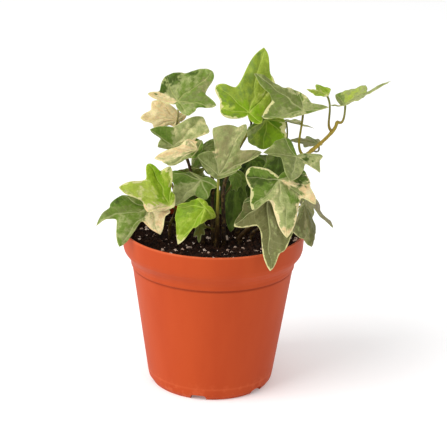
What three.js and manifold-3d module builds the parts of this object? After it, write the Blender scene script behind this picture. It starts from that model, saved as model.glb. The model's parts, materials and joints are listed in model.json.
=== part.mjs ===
// A young variegated ivy in a round plastic grow pot.
// Millimetres, +Z up. The origin is the middle of the pot's flat base, on its axis.
// -Y is the front: the side on which most leaves turn their upper faces outwards.

import * as THREE from "three";
import { mergeVertices } from "three/addons/utils/BufferGeometryUtils.js";
import Module from "manifold-3d";

const wasm = await Module();
wasm.setup();

// ---------------------------------------------------------------- driving dimensions

const GAP = 0.3; // clearance between pieces that touch on the real plant

const POT = {
  height: 93,
  lipRadius: 52.5,
  lipRounding: 0.4,
  wall: 1.2,
  bandFoot: 71.5, // height of the step under the rim band
  bodyTopRadius: 46.6,
  bodyFoot: 5, // height where the straight body ends
  bodyFootRadius: 37,
  chamferTop: 2.6, // the foot's edge is cut back below this height
  chamferTopRadius: 36.5,
  footRadius: 34.8,
  floor: 2,
  segments: 40,
};

// Outside of the rim band as [radius, height], from the step up to the lip.
const RIM_BAND = [
  [47.3, POT.bandFoot],
  [47.5, 74],
  [48.4, 76.2],
  [49.9, 78.2],
  [51.3, 80.2],
  [51.9, 82.4],
  [POT.lipRadius, POT.height - POT.lipRounding],
];

// Six channels under the floor lead from the drain holes out through arches in the foot.
const DRAIN = {
  count: 6,
  firstAngle: -100.5, // degrees from +X, so that one arch stands almost in front
  width: 9,
  height: 3,
  shoulder: 1.1, // height where an arch begins to round over
  cover: 1.3, // thickness of the roof over each channel
  inner: 17, // radius where the channel ends
  holeRadius: 2.2,
  holeAt: 23, // radius of the ring of holes
  holeSides: 12,
};

const SOIL = {
  top: 87, // level middle
  edgeTop: 85.5, // where it meets the wall
  levelRadius: 42,
  wallGap: 0.4,
};

const STEM_RADIUS = 1.2;
const STEM_SIDES = 8;
const STEM_UPRIGHT = 3; // a stem leaves the soil upright over this height
const STEM_STEP = 6; // length of one straight stretch of a stem's tube
const PETIOLE_RADIUS = 0.65;
const PETIOLE_SIDES = 6;
const PETIOLE_STEPS = 5;
const BLADE_THICKNESS = 0.8;
const NOTCH_DEPTH = 2; // leaf margin behind the point where the petiole joins
const BLADE_RINGS = [0.55, 1]; // shares of the way from the petiole to the margin
const LOBE_CURVE = 1.5; // power of the way to its tip by which a lobe rises or droops

// A petiole's bend, as shares of its length.
const PETIOLE_BEND = { leave: 0.25, behind: 0.15, under: 0.15, drop: 0.2 };

// Shape of a lobe's margin, as shares of the distance from its tip to the gap beside it.
const LOBE = {
  reach: 0.42, // how far the tip's own direction carries
  flank: 0.14, // how far a pointed lobe's side swells
  gapReach: 0.24, // half width of the round bottom of a gap
  gapSwell: 0.05,
};

// Shape of the round ears beside the petiole, as shares of the distance from tip to notch.
const EAR = { reach: 0.4, sharpest: 0.35, notchReach: 0.3, lean: 0.6 };

const COLOURS = {
  pot: { color: 0xbc4f2c, roughness: 0.5, metalness: 0 },
  soil: { color: 0x2a1c16, roughness: 0.95, metalness: 0 },
  stem: { color: 0x8f7436, roughness: 0.7, metalness: 0 },
  green: { color: 0x5f7f35, roughness: 0.5, metalness: 0 },
  lime: { color: 0x7fa81f, roughness: 0.5, metalness: 0 },
  grey: { color: 0x74825c, roughness: 0.45, metalness: 0 },
  dark: { color: 0x2f4a1c, roughness: 0.5, metalness: 0 },
  cream: { color: 0xdcc79a, roughness: 0.55, metalness: 0 },
};

// Each stem rises from the soil through these points.
const STEMS = {
  stem_left_shoot: [[-25, -5], [-25, -5, 94], [-23, -7, 101]],
  stem_left_tall: [[-6, -13], [-8, -6, 104], [-13, 4, 122], [-17, 6, 134], [-22, 6, 144]],
  stem_front_low: [[2, -17], [2, -18, 97], [2, -20, 107]],
  stem_centre: [[0, -13], [-1, -9, 104], [-1, -1, 120], [-3, 5, 134]],
  stem_crown: [[6, -12], [5.5, -9, 103], [5, -7, 117], [8, -4, 129], [13.5, 0, 141], [17.5, 2, 148],
    [19.5, 2, 153]],
  stem_front_right: [[15, -10], [22, -14, 100], [28, -20, 113], [33, -25, 122]],
  stem_right_low: [[22, -3], [33, -5, 99], [42, -8, 109]],
  stem_vine: [[14, 2], [26, 6, 106], [37, 8, 120], [45, 8, 129], [53, 8, 136], [60, 9, 142],
    [65, 10, 147], [68, 11, 151], [69, 11, 155]],
  stem_back_left: [[-12, 12], [-20, 18, 102], [-26, 24, 112]],
  stem_back_middle: [[0, 12], [0, 20, 106], [-3, 25, 122]],
  stem_back_right: [[13, 16], [20, 24, 105], [27, 30, 120]],
};

// Each leaf: the stem it grows on and how far up (0 to 1), the point where the petiole joins
// the blade, and its five lobe tips, counter-clockwise as seen on the upper side, starting
// and ending beside the petiole. sinus: how far each gap between lobes stays out (1 is the
// straight line between the tips). blunt: how round each tip is. via: a point that pulls the
// petiole clear of its neighbours. gapAt: where each gap lies on the way from one lobe to the
// next (0 to 1), instead of nearer the shorter one. ears: how full the two ears beside the
// petiole are, on the side of the first lobe and of the last (1 is common). A petiole at 1
// carries on from its stem's tip; any other leaves the stem at its side.
const LEAVES = [
  { name: "leaf_upper_left", look: "green", stem: "stem_left_tall", at: 1, base: [-22, 2, 166],
    via: [-20, 3, 154],
    tips: [[-14.5, -3, 159.5], [0, -3, 165.5], [-2.5, 9, 182], [-29, 9, 178.5], [-38.5, 0, 170.5]],
    sinus: [0.8, 0.75, 1.08, 0.78], blunt: [0.6, 0.1, 0.8, 0.7, 0.3], gapAt: [0.6, 0.45, 0.5, 0.65],
    ears: [1, 0.6] },
  { name: "leaf_cream", look: "cream", stem: "stem_left_tall", at: 0.97, base: [-22, 9, 154],
    tips: [[-17, 12, 157], [-36.5, 12, 163.5], [-43, 5, 155], [-35, 5, 149.5], [-25, 8, 150]],
    sinus: [0.8, 0.88, 0.9, 0.9], blunt: [0.6, 0.5, 0.4, 0.4, 0.6] },
  { name: "leaf_left_tall", look: "grey", stem: "stem_left_tall", at: 0.92, base: [-24, -1, 140.5],
    tips: [[-11, -4, 146.5], [-3.5, -1, 150], [-7.5, 4, 157], [-37, -4, 151], [-32.5, -6, 141.5]],
    sinus: [0.95, 1, 0.88, 0.62], blunt: [0.7, 0.5, 0.4, 0.2, 0.3], gapAt: [0.4, 0.5, 0.48, 0.2],
    ears: [0.4, 0.2] },
  { name: "leaf_left_streaked", look: "cream", stem: "stem_left_tall", at: 0.8, base: [-10, -8, 141],
    tips: [[-8, -6, 146], [-17, -7, 146], [-34, -14, 137], [-26.5, -16, 134], [-13, -12, 137]],
    sinus: [0.9, 0.95, 1, 0.95], blunt: [0.5, 0.5, 0.1, 0.5, 0.5] },
  { name: "leaf_centre_small", look: "dark", stem: "stem_centre", at: 0.99, base: [-7, 8, 138],
    tips: [[-13, 11, 142.5], [-18, 12, 134], [-13, 8, 126], [-1.5, 7, 130.5], [2, 9, 142.5]],
    sinus: [0.85, 0.8, 0.8, 1], blunt: [0.3, 0.2, 0.2, 0.2, 0.5] },
  { name: "leaf_centre", look: "grey", stem: "stem_front_low", at: 1, base: [2, -22, 130.5],
    via: [2, -21, 122],
    tips: [[12, -22, 133], [26, -16, 143], [17, -8, 156.5], [-1.5, -14, 155.5], [-9.5, -26, 143]],
    sinus: [0.84, 0.64, 0.96, 0.52], blunt: [0.5, 0.1, 0.3, 0.1, 0.3],
    gapAt: [0.6, 0.65, 0.22, 0.03], ears: [0.3, 0.55] },
  { name: "leaf_left_bright", look: "lime", stem: "stem_left_shoot", at: 1, base: [-25, -18, 111],
    via: [-21, -13, 108],
    tips: [[-23, -14, 117], [-25, -8, 131], [-37.5, -8, 132.5], [-53, -24, 123], [-37, -26, 110]],
    sinus: [0.9, 0.86, 0.77, 0.82], blunt: [0.5, 0.2, 0.6, 0.2, 0.6],
    gapAt: [0.25, 0.55, 0.35, 0.5], ears: [1, 0.25] },
  { name: "leaf_left_low", look: "grey", stem: "stem_left_shoot", at: 0.65, base: [-36, -14, 108],
    tips: [[-52.5, -13, 114.5], [-65.5, -24, 104], [-52, -33, 91], [-29.5, -25, 96], [-24.5, -20, 107.5]],
    sinus: [1, 0.69, 0.4, 0.87], blunt: [0.1, 0.05, 0.12, 0, 0.5], gapAt: [0.6, 0.2, 0.2, 0.7],
    ears: [0.8, 1] },
  { name: "leaf_middle", look: "grey", stem: "stem_centre", at: 0.6, base: [-7.5, -4, 122],
    tips: [[-14, 1, 125.5], [-24.5, 2, 125], [-23.5, -7, 107.5], [-4, -13, 113.5], [1.5, -8, 119.5]],
    sinus: [0.95, 0.95, 0.68, 0.8], blunt: [0.3, 0.3, 0.4, 0.3, 0.6], gapAt: [0.35, 0.45, 0.4, 0.6],
    ears: [0, 1.2] },
  { name: "leaf_lime", look: "lime", stem: "stem_left_shoot", at: 0.7, base: [-5, -23, 112],
    via: [-14, -17, 103],
    tips: [[-10, -17, 115], [-20.5, -18, 111], [-19.5, -31, 92.5], [-7.5, -29, 104], [1, -22, 106.5]],
    sinus: [1, 1.06, 0.9, 0.95], blunt: [0.5, 0.3, 0.05, 0.4, 0.3], gapAt: [0.5, 0.5, 0.5, 0.45],
    ears: [1, 1] },
  { name: "leaf_low_small", look: "dark", stem: "stem_front_low", at: 0.5, base: [-8, -15, 100],
    tips: [[-11, -15, 97], [-11, -18, 93], [-8, -20, 90], [-5, -18, 94], [-4, -15, 97]],
    sinus: [0.8, 0.8, 0.8, 0.8], blunt: [0.3, 0.2, 0.2, 0.2, 0.3] },
  { name: "leaf_centre_dark", look: "dark", stem: "stem_back_middle", at: 0.7, base: [12.5, 10, 122],
    via: [7, 14, 116],
    tips: [[1.5, 9, 118], [2.5, 4, 100.5], [10, -3, 91], [19, 2, 103], [19, 8, 117]],
    sinus: [0.9, 0.92, 0.88, 0.9], blunt: [0.4, 0.2, 0.15, 0.2, 0.4] },
  { name: "leaf_front_right", look: "grey", stem: "stem_front_right", at: 1, base: [35, -34, 132.5],
    tips: [[16.5, -36, 135], [20.5, -46, 119], [39.5, -54, 106], [55, -42, 121.5], [50, -28, 135]],
    sinus: [0.92, 0.58, 0.66, 1], blunt: [1, 0.15, 0.1, 0.2, 0.8], gapAt: [0.45, 0.34, 0.88, 0.5],
    ears: [1.3, 1] },
  { name: "leaf_front_low", look: "grey", stem: "stem_front_right", at: 0.8, base: [29, -34, 121],
    tips: [[16, -32, 118], [11, -42, 107.5], [31, -57, 88], [42.5, -48, 106], [43, -32, 112]],
    sinus: [0.95, 0.58, 1, 0.9], blunt: [0.5, 0.1, 0.1, 0.3, 0.5], gapAt: [0.35, 0.55, 0.38, 0.6] },
  { name: "leaf_right_low", look: "dark", stem: "stem_right_low", at: 0.98, base: [50, -20, 114],
    tips: [[46.5, -26, 111.5], [43.5, -32, 102], [55, -24, 90.5], [58, -14, 99], [56.5, -10, 106]],
    sinus: [0.85, 0.95, 1, 0.8], blunt: [0.5, 0.3, 0.1, 0.4, 0.5], gapAt: [0.3, 0.65, 0.6, 0.35] },
  { name: "leaf_right_narrow", look: "grey", stem: "stem_right_low", at: 0.9, base: [48, -4, 118],
    tips: [[50, -6, 108.5], [55, -8, 107], [68, -8, 96.5], [60.5, 0, 107], [53, 2, 116]],
    sinus: [0.8, 0.82, 0.9, 0.8], blunt: [0.3, 0.2, 0.1, 0.2, 0.3] },
  { name: "leaf_right", look: "grey", stem: "stem_vine", at: 0.55, base: [44.5, -20, 141.5],
    tips: [[38, -13, 150.5], [26, -25, 145], [40.5, -43, 134.5], [58.5, -21, 134], [60, -13, 141]],
    sinus: [1.05, 0.56, 0.44, 0.9], blunt: [1, 0.1, 0.1, 0, 0.1], gapAt: [0.6, 0.25, 0.86, 0.6],
    ears: [1.5, 1] },
  { name: "leaf_crown", look: "lime", stem: "stem_crown", at: 1, base: [18, -2, 161.5],
    tips: [[25.5, -5.5, 157], [33, 9, 175.5], [26, 15, 195.5], [-0.5, 5, 175], [2, -5, 163.5]],
    sinus: [0.9, 0.97, 0.68, 0.95], blunt: [0.8, 0.5, 0.15, 0.8, 0.8], ears: [1.2, 1.1] },
  { name: "leaf_upper_right", look: "grey", stem: "stem_vine", at: 0.68, base: [48.5, -3, 163.5],
    via: [48.5, 3.5, 148.5],
    tips: [[63, 1, 165], [44.5, 5, 173.5], [20.5, -1, 184], [25.5, -9, 160.5], [41, -10, 161]],
    sinus: [0.72, 0.87, 0.72, 1.02], blunt: [0.1, 0.3, 0.1, 0.3, 0.5],
    gapAt: [0.4, 0.55, 0.45, 0.45], ears: [0.1, 0.1] },
  { name: "leaf_under_crown", look: "lime", stem: "stem_crown", at: 0.93, base: [28.5, 6, 156],
    tips: [[17, -6, 152], [18.5, -7, 145.5], [27, -1, 140], [40, 2, 146], [39.5, 7, 154.5]],
    sinus: [1, 1, 1, 0.94], blunt: [0.5, 0.3, 0.3, 0.3, 0.4], gapAt: [0.5, 0.5, 0.4, 0.4],
    ears: [0.3, 1] },
  { name: "leaf_flat_upper", look: "grey", stem: "stem_vine", at: 0.5, base: [40, 14, 153],
    via: [44, 17, 138],
    tips: [[41, 6, 155], [47, 0, 156], [56, 10, 150], [49, 26, 151], [41, 22, 152]],
    sinus: [0.8, 0.8, 0.8, 0.8], blunt: [0.3, 0.2, 0.1, 0.2, 0.3] },
  { name: "leaf_flat_lower", look: "green", stem: "stem_vine", at: 0.75, base: [60, 24, 137],
    tips: [[60.5, 32, 138.5], [53.5, 32, 140.5], [42, 18, 141], [51, 13, 138.5], [57, 17, 137.5]],
    sinus: [0.8, 0.8, 0.8, 0.8], blunt: [0.3, 0.2, 0.1, 0.2, 0.3], ears: [0.6, 0.4] },
  { name: "leaf_tip_small", look: "lime", stem: "stem_vine", at: 0.92, base: [61.5, 9, 171],
    via: [67, 9, 164],
    tips: [[64.5, 13, 172.5], [56.5, 14, 175.5], [50, 4, 174.5], [55, 2, 171.5], [59.5, 3, 170.5]],
    sinus: [1.05, 0.62, 0.9, 0.9], blunt: [0.7, 0.2, 0.05, 0.3, 0.5], gapAt: [0.5, 0.8, 0.6, 0.6],
    ears: [0.1, 0.2] },
  { name: "leaf_tip_right", look: "green", stem: "stem_vine", at: 0.99, base: [73, 12, 164],
    via: [73, 10, 160],
    tips: [[63, 4, 166.5], [80.5, 5, 170], [99, 18, 177], [85.5, 25, 172.5], [68, 22, 168.5]],
    sinus: [0.45, 0.9, 0.65, 0.95], blunt: [0.05, 0.4, 0.05, 0.3, 0.7], gapAt: [0.5, 0.3, 0.4, 0.65],
    ears: [0.4, 0.7] },
  { name: "leaf_inner_low", look: "dark", stem: "stem_crown", at: 0.4, base: [12, 2, 123],
    tips: [[8, 2, 121], [9.5, -1, 115.5], [12.5, -2, 115], [15, 0, 117.5], [15.5, 3, 121]],
    sinus: [0.9, 0.9, 0.9, 0.9], blunt: [0.4, 0.3, 0.2, 0.3, 0.4] },
  { name: "leaf_inner_right", look: "dark", stem: "stem_back_right", at: 0.9, base: [20, 18, 128.5],
    tips: [[12.5, 19, 126], [13.5, 15, 113.5], [19, 11, 102.5], [28, 14, 113], [29.5, 18, 126]],
    sinus: [0.85, 0.85, 0.85, 0.85], blunt: [0.4, 0.2, 0.15, 0.2, 0.4] },
  { name: "leaf_inner_left", look: "dark", stem: "stem_back_middle", at: 0.5, base: [-8, 13, 117],
    tips: [[-18, 13, 114.5], [-20, 10, 103], [-9.5, 8, 91], [2, 9, 98], [2, 12, 114]],
    sinus: [0.95, 0.95, 0.92, 0.92], blunt: [0.5, 0.4, 0.3, 0.3, 0.5] },
  { name: "leaf_right_inner", look: "dark", stem: "stem_vine", at: 0.4, base: [36, 8, 135],
    tips: [[29, 8, 132.5], [27, 4, 125.5], [35, 0, 119], [40.5, 3, 126.5], [41, 8, 133]],
    sinus: [0.9, 0.9, 0.9, 0.9], blunt: [0.3, 0.2, 0.2, 0.2, 0.3] },
];

// The leaves on the far side grow to one pattern: heading in degrees from +X seen from
// above, pitch in degrees of the main lobe above level, and length of the main lobe.
const BACK_LEAVES = [
  { name: "leaf_back_left", look: "green", stem: "stem_back_left", at: 1, base: [-33, 30, 114],
    heading: 140, pitch: -30, length: 24 },
  { name: "leaf_back_left_low", look: "grey", stem: "stem_back_left", at: 0.55, base: [-36, 14, 109],
    heading: 175, pitch: -35, length: 22 },
  { name: "leaf_back_left_inner", look: "lime", stem: "stem_back_left", at: 0.8, base: [-15, 34, 116],
    heading: 110, pitch: -45, length: 20 },
  { name: "leaf_back_middle", look: "grey", stem: "stem_back_middle", at: 1, base: [0, 34, 124],
    heading: 97, pitch: -40, length: 25 },
  { name: "leaf_back_middle_low", look: "green", stem: "stem_back_middle", at: 0.4, base: [4, 34, 104],
    heading: 80, pitch: -30, length: 20 },
  { name: "leaf_back_right", look: "green", stem: "stem_back_right", at: 0.99, base: [35, 36, 124],
    heading: 60, pitch: -35, length: 25 },
  { name: "leaf_back_right_low", look: "grey", stem: "stem_back_right", at: 0.6, base: [36, 24, 110],
    heading: 20, pitch: -30, length: 22 },
  { name: "leaf_back_right_inner", look: "lime", stem: "stem_back_right", at: 0.7, base: [21, 29, 128],
    heading: 50, pitch: -40, length: 17 },
];
const PATTERN = {
  angles: [-115, -52, 0, 52, 115], // degrees from the main lobe
  lengths: [0.5, 0.78, 1, 0.78, 0.5], // shares of the main lobe
  droop: 0.12, // fall of the side lobes, as a share of their reach to the side
  sinus: [0.86, 0.74, 0.74, 0.86],
  blunt: [0.5, 0.15, 0.08, 0.15, 0.5],
};

// ---------------------------------------------------------------- solids

const vec = ([x, y, z]) => new THREE.Vector3(x, y, z);

/** A closed geometry with its shared vertices merged and nothing but positions left. */
function welded(geometry) {
  const bare = geometry.clone();
  bare.deleteAttribute("normal");
  bare.deleteAttribute("uv");
  return mergeVertices(bare, 1e-4);
}

function toSolid(geometry) {
  const bare = welded(geometry);
  return new wasm.Manifold(new wasm.Mesh({
    numProp: 3,
    vertProperties: new Float32Array(bare.attributes.position.array),
    triVerts: new Uint32Array(bare.index.array),
  }));
}

function fromSolid(solid) {
  const mesh = solid.getMesh();
  const geometry = new THREE.BufferGeometry();
  geometry.setAttribute("position", new THREE.BufferAttribute(mesh.vertProperties, 3));
  geometry.setIndex(new THREE.BufferAttribute(mesh.triVerts, 1));
  return geometry;
}

function piece(name, geometry, look) {
  const mesh = new THREE.Mesh(geometry, new THREE.MeshStandardMaterial(COLOURS[look]));
  mesh.name = name;
  return mesh;
}

/** Turns a closed half-profile of [radius, height] points about the vertical axis. */
function turned(profile, segments) {
  const points = profile.map(([radius, height]) => new THREE.Vector2(radius, height));
  return new THREE.LatheGeometry(points, segments).rotateX(Math.PI / 2);
}

/** A round bar of the given radius along a curve. */
function bar(curve, radius, sides, steps) {
  const ring = [];
  for (let i = 0; i < sides; i += 1) {
    const angle = (2 * Math.PI * i) / sides;
    ring.push(new THREE.Vector2(radius * Math.cos(angle), radius * Math.sin(angle)));
  }
  return new THREE.ExtrudeGeometry(new THREE.Shape(ring), { steps, extrudePath: curve });
}

// ---------------------------------------------------------------- pot and soil

/** The pot's outside as [radius, height], from the foot to the lip. */
const OUTSIDE = [
  [POT.footRadius, 0],
  [POT.chamferTopRadius, POT.chamferTop],
  [POT.bodyFootRadius, POT.bodyFoot],
  [POT.bodyTopRadius, POT.bandFoot],
  ...RIM_BAND,
];

/** Outer radius of the pot at a height. */
function outerRadius(height) {
  const above = OUTSIDE.findIndex((point) => point[1] > height);
  const [lowRadius, low] = OUTSIDE[above - 1];
  const [highRadius, high] = OUTSIDE[above];
  return lowRadius + ((height - low) / (high - low)) * (highRadius - lowRadius);
}

/** Floor, wall and rim of the pot in one half-profile of even wall thickness. */
function potWall() {
  const bandStep = OUTSIDE.length - RIM_BAND.length;
  const inside = OUTSIDE
    .filter((point, i) => i > 0 && i !== bandStep && i < OUTSIDE.length - 1)
    .map(([radius, height]) => [radius - POT.wall, height])
    .reverse();
  return turned([
    [0, 0],
    ...OUTSIDE,
    [POT.lipRadius - POT.lipRounding, POT.height],
    [POT.lipRadius - POT.wall, POT.height],
    ...inside,
    [POT.footRadius - POT.wall, POT.floor],
    [0, POT.floor],
  ], POT.segments);
}

/** A radial tunnel with an arched roof, lying along +X from the inner to the outer radius. */
function tunnel({ width, height, shoulder, inner, outer, bottom }) {
  const half = width / 2;
  const crown = width / 4;
  const shape = new THREE.Shape();
  shape.moveTo(-half, bottom);
  shape.lineTo(half, bottom);
  shape.lineTo(half, shoulder);
  shape.quadraticCurveTo(half, height, crown, height);
  shape.lineTo(-crown, height);
  shape.quadraticCurveTo(-half, height, -half, shoulder);
  shape.closePath();
  const geometry = new THREE.ExtrudeGeometry(shape, {
    depth: outer - inner,
    bevelEnabled: false,
    curveSegments: 2,
  });
  return geometry.rotateX(Math.PI / 2).rotateZ(Math.PI / 2).translate(inner, 0, 0);
}

/** The roof over one channel; it runs on through the wall, where it is trimmed. */
function channelRoof() {
  return tunnel({
    width: DRAIN.width + 2 * DRAIN.cover,
    height: DRAIN.height + DRAIN.cover,
    shoulder: DRAIN.shoulder + DRAIN.cover,
    inner: DRAIN.inner - DRAIN.cover,
    outer: POT.bodyTopRadius,
    bottom: POT.floor / 4,
  });
}

/** The foot of the pot as far out as the middle of its wall, to which the roofs are trimmed. */
function footInside() {
  const side = OUTSIDE
    .filter((point) => point[1] <= POT.bodyFoot)
    .map(([radius, height]) => [radius - POT.wall / 2, height]);
  return turned([[0, 0], ...side, [0, POT.bodyFoot]], POT.segments);
}

/** What is cut away for one channel: it opens downwards and outwards through the foot. */
function channelCut() {
  return tunnel({
    width: DRAIN.width,
    height: DRAIN.height,
    shoulder: DRAIN.shoulder,
    inner: DRAIN.inner,
    outer: POT.bodyTopRadius,
    bottom: -1,
  });
}

function drainHole() {
  const length = 4 * DRAIN.height;
  const hole = new THREE.CylinderGeometry(DRAIN.holeRadius, DRAIN.holeRadius, length, DRAIN.holeSides);
  return hole.rotateX(Math.PI / 2).translate(DRAIN.holeAt, 0, DRAIN.height);
}

function makePot() {
  const foot = toSolid(footInside());
  let solid = toSolid(potWall());
  const cuts = [];
  for (let i = 0; i < DRAIN.count; i += 1) {
    const turn = THREE.MathUtils.degToRad(DRAIN.firstAngle + (i * 360) / DRAIN.count);
    solid = solid.add(toSolid(channelRoof().rotateZ(turn)).intersect(foot));
    cuts.push(channelCut().rotateZ(turn), drainHole().rotateZ(turn));
  }
  for (const cut of cuts) {
    solid = solid.subtract(toSolid(cut));
  }
  return piece("pot", fromSolid(solid), "pot");
}

/** The soil fills the pot from just over the channel roofs to a little under the rim. */
function makeSoil() {
  const bottom = DRAIN.height + DRAIN.cover + GAP;
  const underBand = POT.bandFoot - 1;
  const bandHeights = RIM_BAND.slice(1, -1).map((point) => point[1]);
  const side = [bottom, underBand, ...bandHeights, SOIL.edgeTop]
    .map((height) => [outerRadius(height) - POT.wall - SOIL.wallGap, height]);
  const profile = [[0, bottom], ...side, [SOIL.levelRadius, SOIL.top], [0, SOIL.top]];
  return piece("soil", turned(profile, POT.segments), "soil");
}

// ---------------------------------------------------------------- stems

/** A stem's middle line: it starts upright, so that its foot stands flat on the soil. */
function stemCurve(name) {
  const [foot, ...rest] = STEMS[name];
  const start = new THREE.Vector3(foot[0], foot[1], SOIL.top + GAP);
  const upright = new THREE.Vector3(foot[0], foot[1], SOIL.top + STEM_UPRIGHT);
  return new THREE.CatmullRomCurve3([start, upright, ...rest.map(vec)], false, "centripetal");
}

function makeStem(name) {
  const curve = stemCurve(name);
  const steps = Math.max(4, Math.round(curve.getLength() / STEM_STEP));
  return piece(name, bar(curve, STEM_RADIUS, STEM_SIDES, steps), "stem");
}

// ---------------------------------------------------------------- leaves

/** Lobe tips of a leaf that grows to the common pattern. */
function patternTips({ base, heading, pitch, length }) {
  const turn = THREE.MathUtils.degToRad(heading);
  const rise = THREE.MathUtils.degToRad(pitch);
  const along = new THREE.Vector3(
    Math.cos(rise) * Math.cos(turn),
    Math.cos(rise) * Math.sin(turn),
    Math.sin(rise),
  );
  const left = new THREE.Vector3(-Math.sin(turn), Math.cos(turn), 0);
  return PATTERN.angles.map((angle, i) => {
    const a = THREE.MathUtils.degToRad(angle);
    const size = PATTERN.lengths[i] * length;
    const tip = vec(base).addScaledVector(along, size * Math.cos(a));
    tip.addScaledVector(left, size * Math.sin(a));
    tip.z -= PATTERN.droop * size * Math.abs(Math.sin(a));
    return tip.toArray();
  });
}

/** The blade's own axes, and each lobe tip as an angle, a length and a lift off the plane. */
function bladeFrame(leaf) {
  const origin = vec(leaf.base);
  const arms = leaf.tips.map((tip) => vec(tip).sub(origin));
  const along = arms[2].clone().normalize();
  const up = new THREE.Vector3();
  for (let i = 0; i < 4; i += 1) {
    up.add(new THREE.Vector3().crossVectors(arms[i], arms[i + 1]));
  }
  up.addScaledVector(along, -up.dot(along)).normalize();
  const left = new THREE.Vector3().crossVectors(up, along);
  const lobes = arms.map((arm) => ({
    angle: Math.atan2(arm.dot(left), arm.dot(along)),
    length: Math.hypot(arm.dot(along), arm.dot(left)),
    lift: arm.dot(up),
  }));
  return { origin, along, left, up, lobes };
}

const polar = (radius, angle) => new THREE.Vector2(radius * Math.cos(angle), radius * Math.sin(angle));

/** Unit vector across a radius, counter-clockwise for turn 1 and clockwise for turn -1. */
const across = (point, turn) => new THREE.Vector2(-point.y, point.x).normalize().multiplyScalar(turn);

/** The margin's control point beside a tip: straight on for a sharp tip, across for a round one. */
function besideTip(tip, end, turn, blunt) {
  const chord = end.clone().sub(tip);
  const size = chord.length();
  const outward = new THREE.Vector2(chord.y, -chord.x).normalize().multiplyScalar(turn);
  return tip.clone()
    .addScaledVector(chord, LOBE.reach * (1 - blunt))
    .addScaledVector(outward, LOBE.flank * (1 - blunt) * size)
    .addScaledVector(across(tip, turn), LOBE.reach * blunt * size);
}

/** One side of a lobe, from its tip to the bottom of the gap beside it. */
function lobeSide(tip, gap, turn, blunt) {
  const chord = gap.clone().sub(tip);
  const size = chord.length();
  const outward = new THREE.Vector2(chord.y, -chord.x).normalize().multiplyScalar(turn);
  const besideGap = gap.clone()
    .addScaledVector(across(gap, -turn), LOBE.gapReach * size)
    .addScaledVector(outward, LOBE.gapSwell * size);
  return [tip, besideTip(tip, gap, turn, blunt), besideGap, gap];
}

/** The rounded ear between the last lobe and the notch at the petiole. */
function ear(tip, notch, turn, halfTurn, blunt, fullness) {
  const size = fullness * tip.distanceTo(notch);
  const round = EAR.sharpest + (1 - EAR.sharpest) * blunt;
  const reach = EAR.reach * Math.min(1, halfTurn) * round;
  const besideLobe = tip.clone().addScaledVector(across(tip, turn), reach * size);
  const lean = notch.angle() - turn * Math.min(EAR.lean, halfTurn / 2);
  const besideNotch = notch.clone().add(polar(EAR.notchReach * size, lean));
  return [tip, besideLobe, besideNotch, notch];
}

/** The leaf's margin in its own plane, as cubic curves that run counter-clockwise. */
function margin(lobes, { sinus, blunt, gapAt, ears = [1, 1] }) {
  const tips = lobes.map((lobe) => polar(lobe.length, lobe.angle));
  const curves = [];
  for (let i = 0; i < 4; i += 1) {
    const a = lobes[i];
    const b = lobes[i + 1];
    const share = gapAt ? gapAt[i] : a.length / (a.length + b.length);
    const angle = a.angle + share * (b.angle - a.angle);
    const chord = (a.length * b.length * Math.sin(b.angle - a.angle))
      / (a.length * Math.sin(angle - a.angle) + b.length * Math.sin(b.angle - angle));
    const gap = polar(sinus[i] * chord, angle);
    curves.push(lobeSide(tips[i], gap, 1, blunt[i]));
    curves.push(lobeSide(tips[i + 1], gap, -1, blunt[i + 1]).reverse());
  }
  const halfTurn = (lobes[0].angle + 2 * Math.PI - lobes[4].angle) / 2;
  const notch = polar(NOTCH_DEPTH, lobes[4].angle + halfTurn);
  curves.push(ear(tips[4], notch, 1, halfTurn, blunt[4], ears[1]));
  curves.push(ear(tips[0], notch, -1, halfTurn, blunt[0], ears[0]).reverse());
  return curves.map((points) => new THREE.CubicBezierCurve(...points));
}

/** Height of the blade over its plane: each lobe rises or droops to its tip. */
function bladeHeight(lobes, angle, radius) {
  const before = { ...lobes[4], angle: lobes[4].angle - 2 * Math.PI };
  const after = { ...lobes[0], angle: lobes[0].angle + 2 * Math.PI };
  const ring = [before, ...lobes, after];
  const i = Math.max(0, ring.findLastIndex((lobe) => lobe.angle <= angle));
  const j = Math.min(i + 1, ring.length - 1);
  const share = THREE.MathUtils.smoothstep(angle, ring[i].angle, ring[j].angle);
  const lift = (lobe) => lobe.lift * (radius / lobe.length) ** LOBE_CURVE;
  return (1 - share) * lift(ring[i]) + share * lift(ring[j]);
}

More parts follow.
